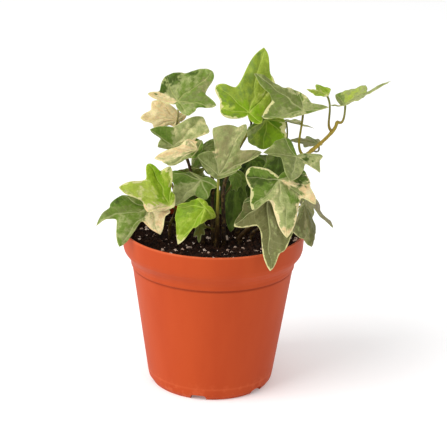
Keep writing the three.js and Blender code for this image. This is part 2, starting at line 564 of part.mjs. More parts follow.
/** A thin closed blade: two skins over the same rays and rings, joined along the margin. */
function bladeGeometry(leaf) {
  const { origin, along, left, up, lobes } = bladeFrame(leaf);
  const rim = margin(lobes, leaf)
    .flatMap((curve) => [curve.getPoint(0), curve.getPoint(0.5)]);
  const positions = [];
  const place = (point, side) => {
    const height = bladeHeight(lobes, Math.atan2(point.y, point.x), point.length());
    const vertex = origin.clone()
      .addScaledVector(along, point.x)
      .addScaledVector(left, point.y)
      .addScaledVector(up, height + (side * BLADE_THICKNESS) / 2);
    positions.push(...vertex.toArray());
  };
  const index = [];
  const count = rim.length;
  const perSkin = 1 + BLADE_RINGS.length * count;
  for (const side of [1, -1]) {
    const first = side === 1 ? 0 : perSkin;
    const face = (a, b, c) => index.push(...(side === 1 ? [a, b, c] : [a, c, b]));
    place(new THREE.Vector2(0, 0), side);
    for (const ring of BLADE_RINGS) {
      rim.forEach((point) => place(point.clone().multiplyScalar(ring), side));
    }
    for (let k = 0; k < count; k += 1) {
      const next = (k + 1) % count;
      face(first, first + 1 + k, first + 1 + next);
      face(first + 1 + k, first + 1 + count + k, first + 1 + count + next);
      face(first + 1 + k, first + 1 + count + next, first + 1 + next);
    }
  }
  const top = 1 + count;
  const bottom = perSkin + 1 + count;
  for (let k = 0; k < count; k += 1) {
    const next = (k + 1) % count;
    index.push(top + k, bottom + k, bottom + next, top + k, bottom + next, top + next);
  }
  const geometry = new THREE.BufferGeometry();
  geometry.setAttribute("position", new THREE.Float32BufferAttribute(positions, 3));
  geometry.setIndex(index);
  return geometry;
}

/** The petiole: from just off its stem's skin or tip to the underside of the blade. */
function petioleCurve(leaf) {
  const { origin, along, up } = bladeFrame(leaf);
  const stem = stemCurve(leaf.stem);
  const node = stem.getPointAt(leaf.at);
  const span = node.distanceTo(origin);
  const behind = origin.clone()
    .addScaledVector(along, -PETIOLE_BEND.behind * span)
    .addScaledVector(up, -PETIOLE_BEND.under * span);
  behind.z -= PETIOLE_BEND.drop * span;
  const arrive = leaf.via ? vec(leaf.via) : behind;
  const ahead = stem.getTangentAt(leaf.at);
  const carriesOn = leaf.at === 1;
  const outwards = carriesOn ? ahead : arrive.clone().sub(node).projectOnPlane(ahead).normalize();
  const start = node.clone().addScaledVector(outwards, carriesOn ? GAP : STEM_RADIUS + GAP);
  const leave = start.clone().addScaledVector(outwards, PETIOLE_BEND.leave * span);
  return new THREE.CubicBezierCurve3(start, leave, arrive, origin);
}

function makeLeaf(leaf) {
  const blade = toSolid(bladeGeometry(leaf));
  const petiole = toSolid(bar(petioleCurve(leaf), PETIOLE_RADIUS, PETIOLE_SIDES, PETIOLE_STEPS));
  return piece(leaf.name, fromSolid(blade.add(petiole)), leaf.look);
}

// ---------------------------------------------------------------- the whole plant

const plant = new THREE.Group();
plant.name = "potted_ivy";
plant.add(makePot(), makeSoil());

const stems = new THREE.Group();
Object.keys(STEMS).forEach((name) => stems.add(makeStem(name)));

const leaves = new THREE.Group();
LEAVES.forEach((leaf) => leaves.add(makeLeaf(leaf)));
BACK_LEAVES.forEach((leaf) => {
  leaves.add(makeLeaf({ ...leaf, tips: patternTips(leaf), sinus: PATTERN.sinus, blunt: PATTERN.blunt }));
});

plant.add(stems, leaves);
export default plant;
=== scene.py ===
# %% [markdown]
# # A young variegated ivy in a round grow pot
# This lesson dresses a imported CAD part. The part already says where the pot, the soil, each
# stem and each leaf are. Blender adds what makes them look real: thin blades with veins and
# pale margins, bark, peat with white perlite, and moulded plastic. Every piece keeps to the
# place of its CAD node, so nothing needs fitting.

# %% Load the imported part
import json
import math

import bpy
import numpy as np
from mathutils import Matrix, Vector


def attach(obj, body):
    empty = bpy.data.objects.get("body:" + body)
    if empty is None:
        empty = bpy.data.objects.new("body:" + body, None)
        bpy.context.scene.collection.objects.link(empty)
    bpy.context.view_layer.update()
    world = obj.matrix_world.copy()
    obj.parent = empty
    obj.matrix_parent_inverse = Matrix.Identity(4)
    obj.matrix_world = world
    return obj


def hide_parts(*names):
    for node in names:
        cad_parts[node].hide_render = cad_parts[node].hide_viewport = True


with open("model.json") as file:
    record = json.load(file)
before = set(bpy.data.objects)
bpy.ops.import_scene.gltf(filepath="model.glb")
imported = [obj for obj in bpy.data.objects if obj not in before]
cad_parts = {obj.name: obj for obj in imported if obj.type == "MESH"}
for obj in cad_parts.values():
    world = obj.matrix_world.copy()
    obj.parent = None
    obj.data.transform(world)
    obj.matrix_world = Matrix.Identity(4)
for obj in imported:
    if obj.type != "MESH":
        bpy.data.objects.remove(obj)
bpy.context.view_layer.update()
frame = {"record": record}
MM = 0.001

# %% [markdown]
# ## Camera
# A long lens from a little above the rim. The eye is given by its height angle and distance
# in metres from a point on the pot's axis, and the small pan, tilt and roll put the plant
# where it stands in the picture. Building the three camera axes by hand keeps the order of
# the turns clear, which Euler angles would hide.

# %% Set the camera
EYE_ELEVATION = math.radians(22.07)
EYE_DISTANCE = 0.808
AIM_HEIGHT = 0.045
PAN = math.radians(0.40)
TILT = math.radians(3.37)
ROLL = math.radians(1.53)
SENSOR = 36.0
PICTURE_WIDTH = 447  # pixels
FOCAL_LENGTH = 1374  # in the same pixels
LENS = FOCAL_LENGTH / PICTURE_WIDTH * SENSOR


def camera_axes():
    """Right, up and backward axes of the camera, as columns of its rotation."""
    ahead = Vector((0, math.cos(EYE_ELEVATION), -math.sin(EYE_ELEVATION)))
    ahead = ahead * math.cos(PAN) + Vector((1, 0, 0)) * math.sin(PAN)
    right = ahead.cross(Vector((0, 0, 1))).normalized()
    up = right.cross(ahead)
    ahead = ahead * math.cos(TILT) + up * math.sin(TILT)
    up = right.cross(ahead)
    rolled_right = right * math.cos(ROLL) + up * math.sin(ROLL)
    rolled_up = up * math.cos(ROLL) - right * math.sin(ROLL)
    return Matrix((rolled_right, rolled_up, -ahead)).transposed()


camera_data = bpy.data.cameras.new("camera")
camera_data.sensor_width = SENSOR
camera_data.lens = LENS
camera = bpy.data.objects.new("camera", camera_data)
eye = Vector((
    0,
    -EYE_DISTANCE * math.cos(EYE_ELEVATION),
    EYE_DISTANCE * math.sin(EYE_ELEVATION) + AIM_HEIGHT,
))
camera.matrix_world = Matrix.Translation(eye) @ camera_axes().to_4x4()
bpy.context.scene.collection.objects.link(camera)
bpy.context.scene.camera = camera
print(f"lens {LENS:.1f} mm, eye {eye.length:.3f} m from the pot's foot")

# %% [markdown]
# ## Small helpers for node trees
# Shader trees and geometry trees are wired in the same way, so one helper makes a node,
# sets its options and feeds its sockets. A plain number is typed into the socket, and
# another node's output is linked to it.

# %% Wire nodes
def feed(tree, socket, value):
    """Puts a number, name or colour into a socket, or links another node's output to it."""
    if isinstance(value, bpy.types.NodeSocket):
        tree.links.new(value, socket)
    else:
        socket.default_value = value


def set_inputs(tree, node, values):
    """Feeds a node's sockets; values maps a socket's name or number to what it receives."""
    for key, value in values.items():
        feed(tree, node.inputs[key], value)


def add_node(tree, kind, inputs=None, **options):
    """A new node with these inputs and options."""
    made = tree.nodes.new(kind)
    for option, value in options.items():
        setattr(made, option, value)
    set_inputs(tree, made, inputs or {})
    return made


def calc(tree, operation, a, b, c=None):
    """One step of arithmetic on two values, or on three for MULTIPLY_ADD."""
    values = {0: a, 1: b} if c is None else {0: a, 1: b, 2: c}
    return add_node(tree, "ShaderNodeMath", values, operation=operation).outputs[0]


def ramp(tree, value, low, high, start=0.0, end=1.0):
    """A smooth step from start to end while value goes from low to high."""
    made = add_node(
        tree, "ShaderNodeMapRange",
        {"Value": value, "From Min": low, "From Max": high, "To Min": start, "To Max": end},
        interpolation_type="SMOOTHSTEP",
    )
    return made.outputs[0]


COLOUR_FACTOR, COLOUR_A, COLOUR_B, COLOUR_RESULT = 0, 6, 7, 2  # sockets of a colour Mix node


def mix(tree, factor, a, b):
    """Colour a turned into colour b by factor."""
    made = add_node(
        tree, "ShaderNodeMix", {COLOUR_FACTOR: factor, COLOUR_A: a, COLOUR_B: b},
        data_type="RGBA",
    )
    return made.outputs[COLOUR_RESULT]


def noise(tree, place, scale, detail=2.0, roughness=0.5, distortion=0.0):
    """Soft noise from 0 to 1, mostly near 0.5."""
    made = add_node(tree, "ShaderNodeTexNoise", {
        "Vector": place, "Scale": scale, "Detail": detail,
        "Roughness": roughness, "Distortion": distortion,
    })
    return made.outputs["Fac"]


def attribute(tree, name, output="Fac"):
    """A value that the mesh carries at each point."""
    made = add_node(tree, "ShaderNodeAttribute", attribute_name=name, attribute_type="GEOMETRY")
    return made.outputs[output]


def linear(red, green, blue):
    """A display colour (0 to 255) as the light fraction that a shader works with."""
    shares = [channel / 255 for channel in (red, green, blue)]
    light = [s / 12.92 if s <= 0.04045 else ((s + 0.055) / 1.055) ** 2.4 for s in shares]
    return (*light, 1.0)


def blank_material(name):
    """A material with its tree, its shader and the object's own coordinates."""
    material = bpy.data.materials.new(name)
    material.use_nodes = True
    tree = material.node_tree
    tree.nodes.clear()
    shader = tree.nodes.new("ShaderNodeBsdfPrincipled")
    output = tree.nodes.new("ShaderNodeOutputMaterial")
    tree.links.new(shader.outputs["BSDF"], output.inputs["Surface"])
    place = tree.nodes.new("ShaderNodeTexCoord").outputs["Object"]
    return material, tree, shader, place


def raise_by(tree, shader, height, depth, strength=1.0):
    """Bumps the surface: height from 0 to 1 stands for depth metres."""
    bump = add_node(tree, "ShaderNodeBump", {
        "Height": height, "Distance": depth, "Strength": strength,
    })
    tree.links.new(bump.outputs["Normal"], shader.inputs["Normal"])


print("helpers ready")

# %% [markdown]
# ## Helpers for meshes
# A finished piece has its place in its mesh: the object itself stays at the origin. That way
# a pattern on object coordinates is in metres from the pot's foot and never slides. Values
# that the finish needs at each point, such as the distance to the nearest vein, are stored
# on the mesh as named attributes.

# %% Make meshes
def mesh_object(name, points, faces, edges=()):
    """A smooth-shaded object from points in metres."""
    mesh = bpy.data.meshes.new(name)
    mesh.from_pydata([tuple(point) for point in points], [tuple(e) for e in edges], faces)
    mesh.shade_smooth()
    made = bpy.data.objects.new(name, mesh)
    bpy.context.scene.collection.objects.link(made)
    return made


ATTRIBUTE_KINDS = {
    1: ("FLOAT", "value"), 3: ("FLOAT_VECTOR", "vector"), 4: ("FLOAT_COLOR", "color"),
}


def store(made, name, values):
    """Keeps a number, a vector or a colour at each point of the mesh."""
    values = np.asarray(values, dtype=np.float32)
    kind, field = ATTRIBUTE_KINDS[1 if values.ndim == 1 else values.shape[1]]
    kept = made.data.attributes.new(name, kind, "POINT")
    kept.data.foreach_set(field, values.ravel())


def wall_faces(low, high, count):
    """Quads between two rings of points that start at these numbers."""
    return [(low + k, low + (k + 1) % count, high + (k + 1) % count, high + k)
            for k in range(count)]


def lathe(name, profile, segments):
    """Turns a closed half-profile of (radius, height) in mm, which starts and ends on the axis."""
    turn = np.linspace(0, 2 * math.pi, segments, endpoint=False)
    inner = profile[1:-1]
    points = [(0, 0, profile[0][1] * MM), (0, 0, profile[-1][1] * MM)]
    for radius, height in inner:
        points += [(radius * MM * math.cos(a), radius * MM * math.sin(a), height * MM)
                   for a in turn]
    faces = []
    last = len(inner) - 1
    for k in range(segments):
        here, after = k, (k + 1) % segments
        faces.append((0, 2 + after, 2 + here))
        for row in range(last):
            low, high = 2 + row * segments, 2 + (row + 1) * segments
            faces.append((low + here, low + after, high + after, high + here))
        top = 2 + last * segments
        faces.append((top + here, top + after, 1))
    return mesh_object(name, points, faces)


def finish_piece(made, slot, *nodes):
    """Makes the piece part of the object's root body and hides the CAD nodes it stands for. The
    slot is not used.
    """
    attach(made, "root")
    if nodes:
        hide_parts(*nodes)


def open_edges(mesh):
    """How many edges don't have exactly two faces; a closed mesh has none."""
    used = np.zeros(len(mesh.loops), dtype=np.int64)
    mesh.loops.foreach_get("edge_index", used)
    return int(np.sum(np.bincount(used, minlength=len(mesh.edges)) != 2))


print("mesh helpers ready")

# %% [markdown]
# ## Geometry Nodes helpers
# A tree is a machine with named inputs. The same machine then makes many pieces: each gets a
# modifier with its own values. The tree's result is turned into a plain mesh at once, so the
# part holds real geometry and no live modifier.

# %% Build and run node trees
def new_tree(name, **inputs):
    """A geometry tree with a mesh in, a mesh out and named inputs (kind, value)."""
    tree = bpy.data.node_groups.new(name, "GeometryNodeTree")
    tree.interface.new_socket("Geometry", in_out="INPUT", socket_type="NodeSocketGeometry")
    tree.interface.new_socket("Geometry", in_out="OUTPUT", socket_type="NodeSocketGeometry")
    for label, (kind, value) in inputs.items():
        made = tree.interface.new_socket(label, in_out="INPUT", socket_type=f"NodeSocket{kind}")
        if value is not None:
            made.default_value = value
    group_in = tree.nodes.new("NodeGroupInput")
    group_out = tree.nodes.new("NodeGroupOutput")
    return tree, group_in.outputs, group_out.inputs["Geometry"]


def end_tree(tree, geometry, material, out):
    """The last nodes of every tree: real geometry with its material."""
    real = add_node(tree, "GeometryNodeRealizeInstances", {"Geometry": geometry})
    dressed = add_node(tree, "GeometryNodeSetMaterial", {
        "Geometry": real.outputs["Geometry"], "Material": material,
    })
    tree.links.new(dressed.outputs["Geometry"], out)


def apply_modifiers(made):
    """Replaces the object's mesh by what its modifiers make of it."""
    bpy.context.view_layer.update()
    graph = bpy.context.evaluated_depsgraph_get()
    result = bpy.data.meshes.new_from_object(made.evaluated_get(graph))
    made.modifiers.clear()
    before = made.data
    made.data = result
    bpy.data.meshes.remove(before)
    return made


def run_tree(made, tree, **values):
    """Runs a tree on an object with these input values and keeps the plain mesh."""
    modifier = made.modifiers.new(tree.name, "NODES")
    modifier.node_group = tree
    sockets = {item.name: item.identifier for item in tree.interface.items_tree
               if item.item_type == "SOCKET" and item.in_out == "INPUT"}
    for label, value in values.items():
        modifier[sockets[label]] = value
    return apply_modifiers(made)


print("tree helpers ready")

# %% [markdown]
# ## The pot's outline
# A grow pot is injection moulded: one thin wall, a foot whose edge is cut back, a straight
# taper and a rim band that swells outwards and carries the lip. It could be a cylinder pushed
# about by hand, but it is a body of revolution, so its half-profile is written down and
# turned. Each corner gets a small curve, because a mould has no sharp edges and the light
# runs along those curves.

# %% Profile of the pot
POT_HEIGHT = 93.0
LIP_RADIUS = 52.5
WALL = 1.2
FLOOR = 2.0
BAND_FOOT = 71.5
FOOT_RADIUS = 34.8
FOOT_EDGE = [(FOOT_RADIUS, 0.0), (36.5, 2.6), (37.0, 5.0)]
UNDER_BAND = (46.6, BAND_FOOT)
RIM_BAND = [
    (47.3, BAND_FOOT), (47.5, 74.0), (48.4, 76.2), (49.9, 78.2), (51.3, 80.2), (51.9, 82.4),
    (LIP_RADIUS, POT_HEIGHT),
]
CREASE = [(46.5, 70.1), (46.25, 70.8), (46.35, BAND_FOOT)]  # a shallow groove under the band
POT_SEGMENTS = 160
CORNER_STEPS = 4
CORNER = 0.45  # mm cut back on each side of a corner
CORNER_SHARE = 0.45  # of a short side, at most


def smoothed(profile):
    """The profile with every corner but its two ends turned into a small curve."""
    points = [np.array(p, dtype=float) for p in profile]
    result = points[:1]
    for before, corner, after in zip(points, points[1:], points[2:]):
        back, ahead = before - corner, after - corner
        shorter = min(np.linalg.norm(back), np.linalg.norm(ahead))
        cut_back = min(CORNER, CORNER_SHARE * shorter)
        start = corner + back / np.linalg.norm(back) * cut_back
        end = corner + ahead / np.linalg.norm(ahead) * cut_back
        for step in range(CORNER_STEPS + 1):
            t = step / CORNER_STEPS
            result.append((1 - t) ** 2 * start + 2 * t * (1 - t) * corner + t ** 2 * end)
    return result + points[-1:]


pot_outside = FOOT_EDGE + CREASE + RIM_BAND
band_bumps = RIM_BAND[1:-1]
pot_inside = [(radius - WALL, height) for radius, height in
              [(LIP_RADIUS, POT_HEIGHT)] + band_bumps[::-1]
              + [UNDER_BAND, FOOT_EDGE[2], FOOT_EDGE[1]]]
pot_profile = smoothed(
    [(0.0, 0.0)] + pot_outside + pot_inside + [(FOOT_RADIUS - WALL, FLOOR), (0.0, FLOOR)]
)
pot_shell = lathe("pot_shell", pot_profile, POT_SEGMENTS)
print("pot profile has", len(pot_profile), "points; open edges:", open_edges(pot_shell.data))

# %% [markdown]
# ## Drain channels
# Six channels run under the floor from a ring of holes out through arches in the foot. They
# repeat round the axis, so one small Geometry Nodes tree copies a cutter as often as asked.
# Each channel has a roof of its own, which is joined to the floor before the channel is cut,
# so the soil never falls through. Boolean modifiers do both, because the arches must be real
# openings that show light and shade.

# %% Cut the drain channels
DRAIN_COUNT = 6
FIRST_ARCH = math.radians(-100.5)
ARCH_WIDTH = 9.0
ARCH_HEIGHT = 3.0
ARCH_SHOULDER = 1.1
CHANNEL_COVER = 1.3
CHANNEL_INNER = 17.0
HOLE_RADIUS = 2.2
HOLE_SIDES = 24
HOLES_AT = 23.0
ARCH_STEPS = 6
CUT_FROM = -1.0  # mm, height at which the cutters start, just below the foot
POCKET_NEAR, POCKET_FAR = 5.0, 10.0  # shallow pockets on both sides of each arch
POCKET_LOW, POCKET_HIGH = 0.5, 3.3
POCKET_FLOOR = 35.75  # radius

ring_tree, ring_in, ring_out = new_tree(
    "copies round the axis",
    **{"Count": ("Int", 6), "First angle": ("Float", 0.0), "Material": ("Material", None)},
)
spots = add_node(ring_tree, "GeometryNodePoints", {"Count": ring_in["Count"]})
number = add_node(ring_tree, "GeometryNodeInputIndex").outputs[0]
share = calc(ring_tree, "DIVIDE", number, ring_in["Count"])
angle = calc(ring_tree, "MULTIPLY_ADD", share, 2 * math.pi, ring_in["First angle"])
turn = add_node(ring_tree, "ShaderNodeCombineXYZ", {"Z": angle})
copies = add_node(ring_tree, "GeometryNodeInstanceOnPoints", {
    "Points": spots.outputs[0], "Instance": ring_in["Geometry"], "Rotation": turn.outputs[0],
})
end_tree(ring_tree, copies.outputs[0], ring_in["Material"], ring_out)


def arch(width, height, shoulder, bottom):
    """Outline of an arched opening as (across, height), counter-clockwise."""
    half, crown = width / 2, width / 4
    right = [(half, bottom), (half, shoulder)]
    for step in range(1, ARCH_STEPS + 1):
        t = step / ARCH_STEPS
        right.append(((1 - t) ** 2 * half + 2 * t * (1 - t) * half + t ** 2 * crown,
                      (1 - t) ** 2 * shoulder + 2 * t * (1 - t) * height + t ** 2 * height))
    return right + [(-across, up) for across, up in reversed(right)]


def tunnel(name, outline, inner, outer):
    """The outline drawn out along +X from the inner to the outer radius."""
    points = [(radius * MM, across * MM, up * MM) for radius in (inner, outer)
              for across, up in outline]
    count = len(outline)
    caps = [tuple(reversed(range(count))), tuple(range(count, 2 * count))]
    return mesh_object(name, points, caps + wall_faces(0, count, count))


def pocket(name, near, far):
    """A shallow cutter beside an arch, from one distance across to another."""
    outline = [(near, POCKET_LOW), (far, POCKET_LOW), (far, POCKET_HIGH), (near, POCKET_HIGH)]
    return tunnel(name, outline, POCKET_FLOOR, UNDER_BAND[0])


def drain_hole(name):
    """A round cutter that stands on +X and goes right through the floor."""
    turn = np.linspace(0, 2 * math.pi, HOLE_SIDES, endpoint=False)
    points = [((HOLES_AT + HOLE_RADIUS * math.cos(a)) * MM, HOLE_RADIUS * MM * math.sin(a), z * MM)
              for z in (CUT_FROM, 2 * CHANNEL_COVER + ARCH_HEIGHT) for a in turn]
    caps = [tuple(reversed(range(HOLE_SIDES))), tuple(range(HOLE_SIDES, 2 * HOLE_SIDES))]
    return mesh_object(name, points, caps + wall_faces(0, HOLE_SIDES, HOLE_SIDES))


def ring_of(cutter):
    """The cutter repeated round the axis."""
    return run_tree(cutter, ring_tree, **{"Count": DRAIN_COUNT, "First angle": FIRST_ARCH})


def combine(made, other, operation):
    """Joins or cuts with another solid, which is then thrown away."""
    modifier = made.modifiers.new(operation, "BOOLEAN")
    modifier.object = other
    modifier.operation = operation
    modifier.solver = "EXACT"
    apply_modifiers(made)
    bpy.data.objects.remove(other)


roofs = ring_of(tunnel(
    "channel_roofs",
    arch(ARCH_WIDTH + 2 * CHANNEL_COVER, ARCH_HEIGHT + CHANNEL_COVER,
         ARCH_SHOULDER + CHANNEL_COVER, FLOOR / 4),
    CHANNEL_INNER - CHANNEL_COVER, UNDER_BAND[0],
))
foot_side = [(radius - WALL / 2, height) for radius, height in FOOT_EDGE]
foot_core = lathe("foot_core", [(0.0, 0.0)] + foot_side + [(0.0, FOOT_EDGE[2][1])], POT_SEGMENTS)
channels = ring_of(tunnel(
    "channels", arch(ARCH_WIDTH, ARCH_HEIGHT, ARCH_SHOULDER, CUT_FROM),
    CHANNEL_INNER, UNDER_BAND[0],
))
holes = ring_of(drain_hole("drain_holes"))
combine(roofs, foot_core, "INTERSECT")
combine(pot_shell, roofs, "UNION")
combine(pot_shell, channels, "DIFFERENCE")
combine(pot_shell, holes, "DIFFERENCE")
for near, far in ((-POCKET_FAR, -POCKET_NEAR), (POCKET_NEAR, POCKET_FAR)):
    combine(pot_shell, ring_of(pocket("pockets", near, far)), "DIFFERENCE")
print("pot faces:", len(pot_shell.data.polygons), "open edges:", open_edges(pot_shell.data))

# %% [markdown]
# ## Moulded plastic
# Terracotta-coloured polypropylene has a satin skin. Three things keep it from looking like
# flat paint: a slow change of tone where the melt flowed up the wall, a very fine grain that
# breaks up the highlight, and handling marks near the foot and on the lip, where they are also a
# painted highlight. All of them come from noise on object coordinates. Besides, a pale line
# along the lip is a painted highlight, and a dark line under the rim band is painted shade.

# %% Finish of the pot
PLASTIC = linear(175, 66, 22)
PLASTIC_DEEP = linear(163, 56, 17)
# Pale plastic for wear marks and grain, and for the painted highlight along the lip.
PLASTIC_WEAR_AND_HIGHLIGHT = linear(198, 94, 54)
# Painted shade for the line under the rim band, where the ledge would throw its shadow.
PAINTED_CREASE_SHADE = linear(122, 40, 12)
# Heights in mm. A line has two soft edges: where it starts to show and is full, and where
# it starts to fade and is gone.
FOOT_LINE = ((6.2, 7.0), (7.4, 8.2))
PAINTED_CREASE_BAND = ((69.5, 70.7), (71.3, 72.1))
# The lip line is a painted highlight; the marks on the lip are wear and painted highlight too.
LIP_HIGHLIGHT = (91.6, 92.6)
LIP_WEAR_AND_HIGHLIGHT = (92.1, 92.9)
FOOT_WEAR = (14.0, 1.0)
SATIN = 0.14  # how strongly the plastic and the leaves mirror the light


def step_at(tree, height, edge, full=1.0):
    """A smooth step from 0 to full between two heights in mm."""
    return ramp(tree, height, edge[0] * MM, edge[1] * MM, 0.0, full)


def line_at(tree, height, edges):
    """1 on a line round the pot and 0 off it."""
    (start, whole), (fading, gone) = edges
    return calc(tree, "MULTIPLY", step_at(tree, height, (start, whole)),
                step_at(tree, height, (gone, fading)))


plastic, tree, shader, place = blank_material("terracotta plastic")
height_up = add_node(tree, "ShaderNodeSeparateXYZ", {"Vector": place}).outputs["Z"]
flow_place = add_node(tree, "ShaderNodeMapping", {"Vector": place, "Scale": (1.0, 1.0, 0.25)})
flow = noise(tree, flow_place.outputs[0], 55.0, 3.0)
colour = mix(tree, ramp(tree, flow, 0.3, 0.75, 0.0, 0.6), PLASTIC, PLASTIC_DEEP)
grain = noise(tree, place, 2600.0, 2.0)
colour = mix(tree, calc(tree, "MULTIPLY", grain, 0.12), colour, PLASTIC_WEAR_AND_HIGHLIGHT)
foot_line = line_at(tree, height_up, FOOT_LINE)
# A pale line along the lip is a painted highlight.
lip_highlight = step_at(tree, height_up, LIP_HIGHLIGHT, 0.5)
paler = calc(tree, "MAXIMUM", calc(tree, "MULTIPLY", foot_line, 0.25), lip_highlight)
colour = mix(tree, paler, colour, PLASTIC_WEAR_AND_HIGHLIGHT)
# A dark line just under the rim band is painted shade from the ledge above it.
painted_crease_shade = line_at(tree, height_up, PAINTED_CREASE_BAND)
colour = mix(tree, calc(tree, "MULTIPLY", painted_crease_shade, 0.5), colour, PAINTED_CREASE_SHADE)
marks = noise(tree, place, 240.0, 5.0, 0.7)
low_down = step_at(tree, height_up, FOOT_WEAR)
# On the lip these marks are wear and also a painted highlight; near the foot they are wear.
lip = step_at(tree, height_up, LIP_WEAR_AND_HIGHLIGHT)
wear_and_lip_highlight = calc(tree, "MULTIPLY", ramp(tree, marks, 0.5, 0.62),
            calc(tree, "MAXIMUM", calc(tree, "MULTIPLY", low_down, 0.5), lip))
colour = mix(tree, wear_and_lip_highlight, colour, PLASTIC_WEAR_AND_HIGHLIGHT)
set_inputs(tree, shader, {
    "Base Color": colour, "Roughness": ramp(tree, flow, 0.3, 0.75, 0.52, 0.57),
    "Specular IOR Level": SATIN,
})
raise_by(tree, shader, grain, 0.00008, 0.35)

SHARP_EDGE = math.radians(32)
pot_shell.data.materials.clear()
pot_shell.data.materials.append(plastic)
pot_shell.data.set_sharp_from_angle(angle=SHARP_EDGE)
finish_piece(pot_shell, "pot_plastic", "pot")
print("pot size in mm:", [round(d / MM, 1) for d in pot_shell.dimensions])

# %% [markdown]
# ## Potting mix
# Peat lies in small lumps that sink a little towards the wall. A flat disc would show at
# once, so the bed is a polar grid whose heights come from a few rows of waves with fixed
# phases, and it is closed down the sides to the floor. Loose crumbs and white perlite are
# scattered over it by one Geometry Nodes tree: the grain is a rough little ball, and the
# tree's inputs say how big, how many and which seed.

# %% Bed of peat
SOIL_TOP = 86.6
SOIL_EDGE = 85.3
SOIL_BOTTOM = 4.6
SOIL_RINGS = 60
SOIL_SEGMENTS = 200
SOIL_SIDE_TOP = 84.0
SOIL_HIGHEST = 88.2
WALL_GAP = 0.15
CATCH = 0.9  # mm that the bed reaches below the step under the band
BED_SEED = 11
BED_LUMPS = ((0.55, 16.0), (0.28, 5.0), (0.14, 2.2))  # height and width in mm


def inner_radius(height):
    """Radius of the pot's inside at a height, in mm."""
    wall = FOOT_EDGE + [UNDER_BAND] + RIM_BAND
    return np.interp(height, [h for _, h in wall], [radius - WALL for radius, _ in wall])


def lumps(x, y, size, rng, waves=26):
    """Smooth random heights from -1 to 1 with lumps of about this size in mm."""
    total = np.zeros_like(x)
    for _ in range(waves):
        heading, phase = rng.uniform(0, 2 * math.pi, 2)
        pace = rng.uniform(0.7, 1.5) * 2 * math.pi / size
        total += np.sin(pace * (x * math.cos(heading) + y * math.sin(heading)) + phase)
    return total / math.sqrt(waves)


rng = np.random.default_rng(BED_SEED)
edge_radius = inner_radius(SOIL_EDGE) - WALL_GAP
ring_share = np.linspace(0, 1, SOIL_RINGS + 1)[1:]
turn = np.linspace(0, 2 * math.pi, SOIL_SEGMENTS, endpoint=False)
bed_x = np.append(0, np.outer(ring_share, np.cos(turn)).ravel() * edge_radius)
bed_y = np.append(0, np.outer(ring_share, np.sin(turn)).ravel() * edge_radius)
bed_share = np.hypot(bed_x, bed_y) / edge_radius
bed_z = SOIL_TOP + (SOIL_EDGE - SOIL_TOP) * bed_share ** 4
wide, small, fine = [rise * lumps(bed_x, bed_y, size, rng) for rise, size in BED_LUMPS]
bed_z += wide + small
bed_z += fine
bed_z = np.where(bed_share > 0.999, SOIL_EDGE, np.minimum(bed_z, SOIL_HIGHEST))
bed_points = np.column_stack([bed_x, bed_y, bed_z])
bed_faces = [(0, 1 + k, 1 + (k + 1) % SOIL_SEGMENTS) for k in range(SOIL_SEGMENTS)]


for row in range(SOIL_RINGS - 1):
    inner_row = 1 + row * SOIL_SEGMENTS
    bed_faces += [face[::-1] for face in
                  wall_faces(inner_row, inner_row + SOIL_SEGMENTS, SOIL_SEGMENTS)]
side_heights = [SOIL_SIDE_TOP] + [height for _, height in reversed(band_bumps)]
side_heights += [BAND_FOOT - CATCH, SOIL_BOTTOM]
upper_row = 1 + (SOIL_RINGS - 1) * SOIL_SEGMENTS
for height in side_heights:
    radius = inner_radius(height) - WALL_GAP
    ring = np.column_stack([
        radius * np.cos(turn), radius * np.sin(turn), np.full(SOIL_SEGMENTS, height),
    ])
    lower_row = len(bed_points)
    bed_points = np.vstack([bed_points, ring])
    bed_faces += wall_faces(lower_row, upper_row, SOIL_SEGMENTS)
    upper_row = lower_row
bed_points = np.vstack([bed_points, [[0, 0, SOIL_BOTTOM]]])
middle = len(bed_points) - 1
bed_faces += [(middle, upper_row + (k + 1) % SOIL_SEGMENTS, upper_row + k)
              for k in range(SOIL_SEGMENTS)]
soil_bed = mesh_object("soil_bed", bed_points * MM, bed_faces)
print("soil faces:", len(bed_faces), "open edges:", open_edges(soil_bed.data))

# %% [markdown]
# ## Peat, crumbs and perlite finishes
# Damp peat is nearly black with brown fibres, and it barely shines. Perlite is blown volcanic
# glass: off-white, chalky and full of pores. Each scattered grain carries a random tone, so
# no two neighbours look the same.

# %% Finishes of the mix
peat, tree, shader, place = blank_material("damp peat")
fibres = noise(tree, place, 900.0, 4.0, 0.7, 0.6)
clods = noise(tree, place, 170.0, 3.0)
colour = mix(tree, ramp(tree, fibres, 0.42, 0.68), linear(13, 8, 6), linear(48, 28, 18))
colour = mix(tree, ramp(tree, clods, 0.4, 0.65, 0.0, 0.6), colour, linear(16, 9, 7))
set_inputs(tree, shader, {
    "Base Color": colour, "Roughness": ramp(tree, clods, 0.35, 0.65, 0.95, 0.7),
    "Specular IOR Level": 0.08,
})
raise_by(tree, shader, fibres, 0.0007, 0.9)

crumb, tree, shader, place = blank_material("peat crumb")
tone = attribute(tree, "tone")
speckle = noise(tree, place, 1600.0, 3.0, 0.6)
colour = mix(tree, tone, linear(14, 8, 6), linear(58, 35, 22))
colour = mix(tree, ramp(tree, speckle, 0.45, 0.65, 0.0, 0.5), colour, linear(22, 13, 9))
set_inputs(tree, shader, {
    "Base Color": colour, "Roughness": ramp(tree, speckle, 0.3, 0.7, 0.9, 0.7),
    "Specular IOR Level": 0.1,
})
raise_by(tree, shader, speckle, 0.0004, 0.8)

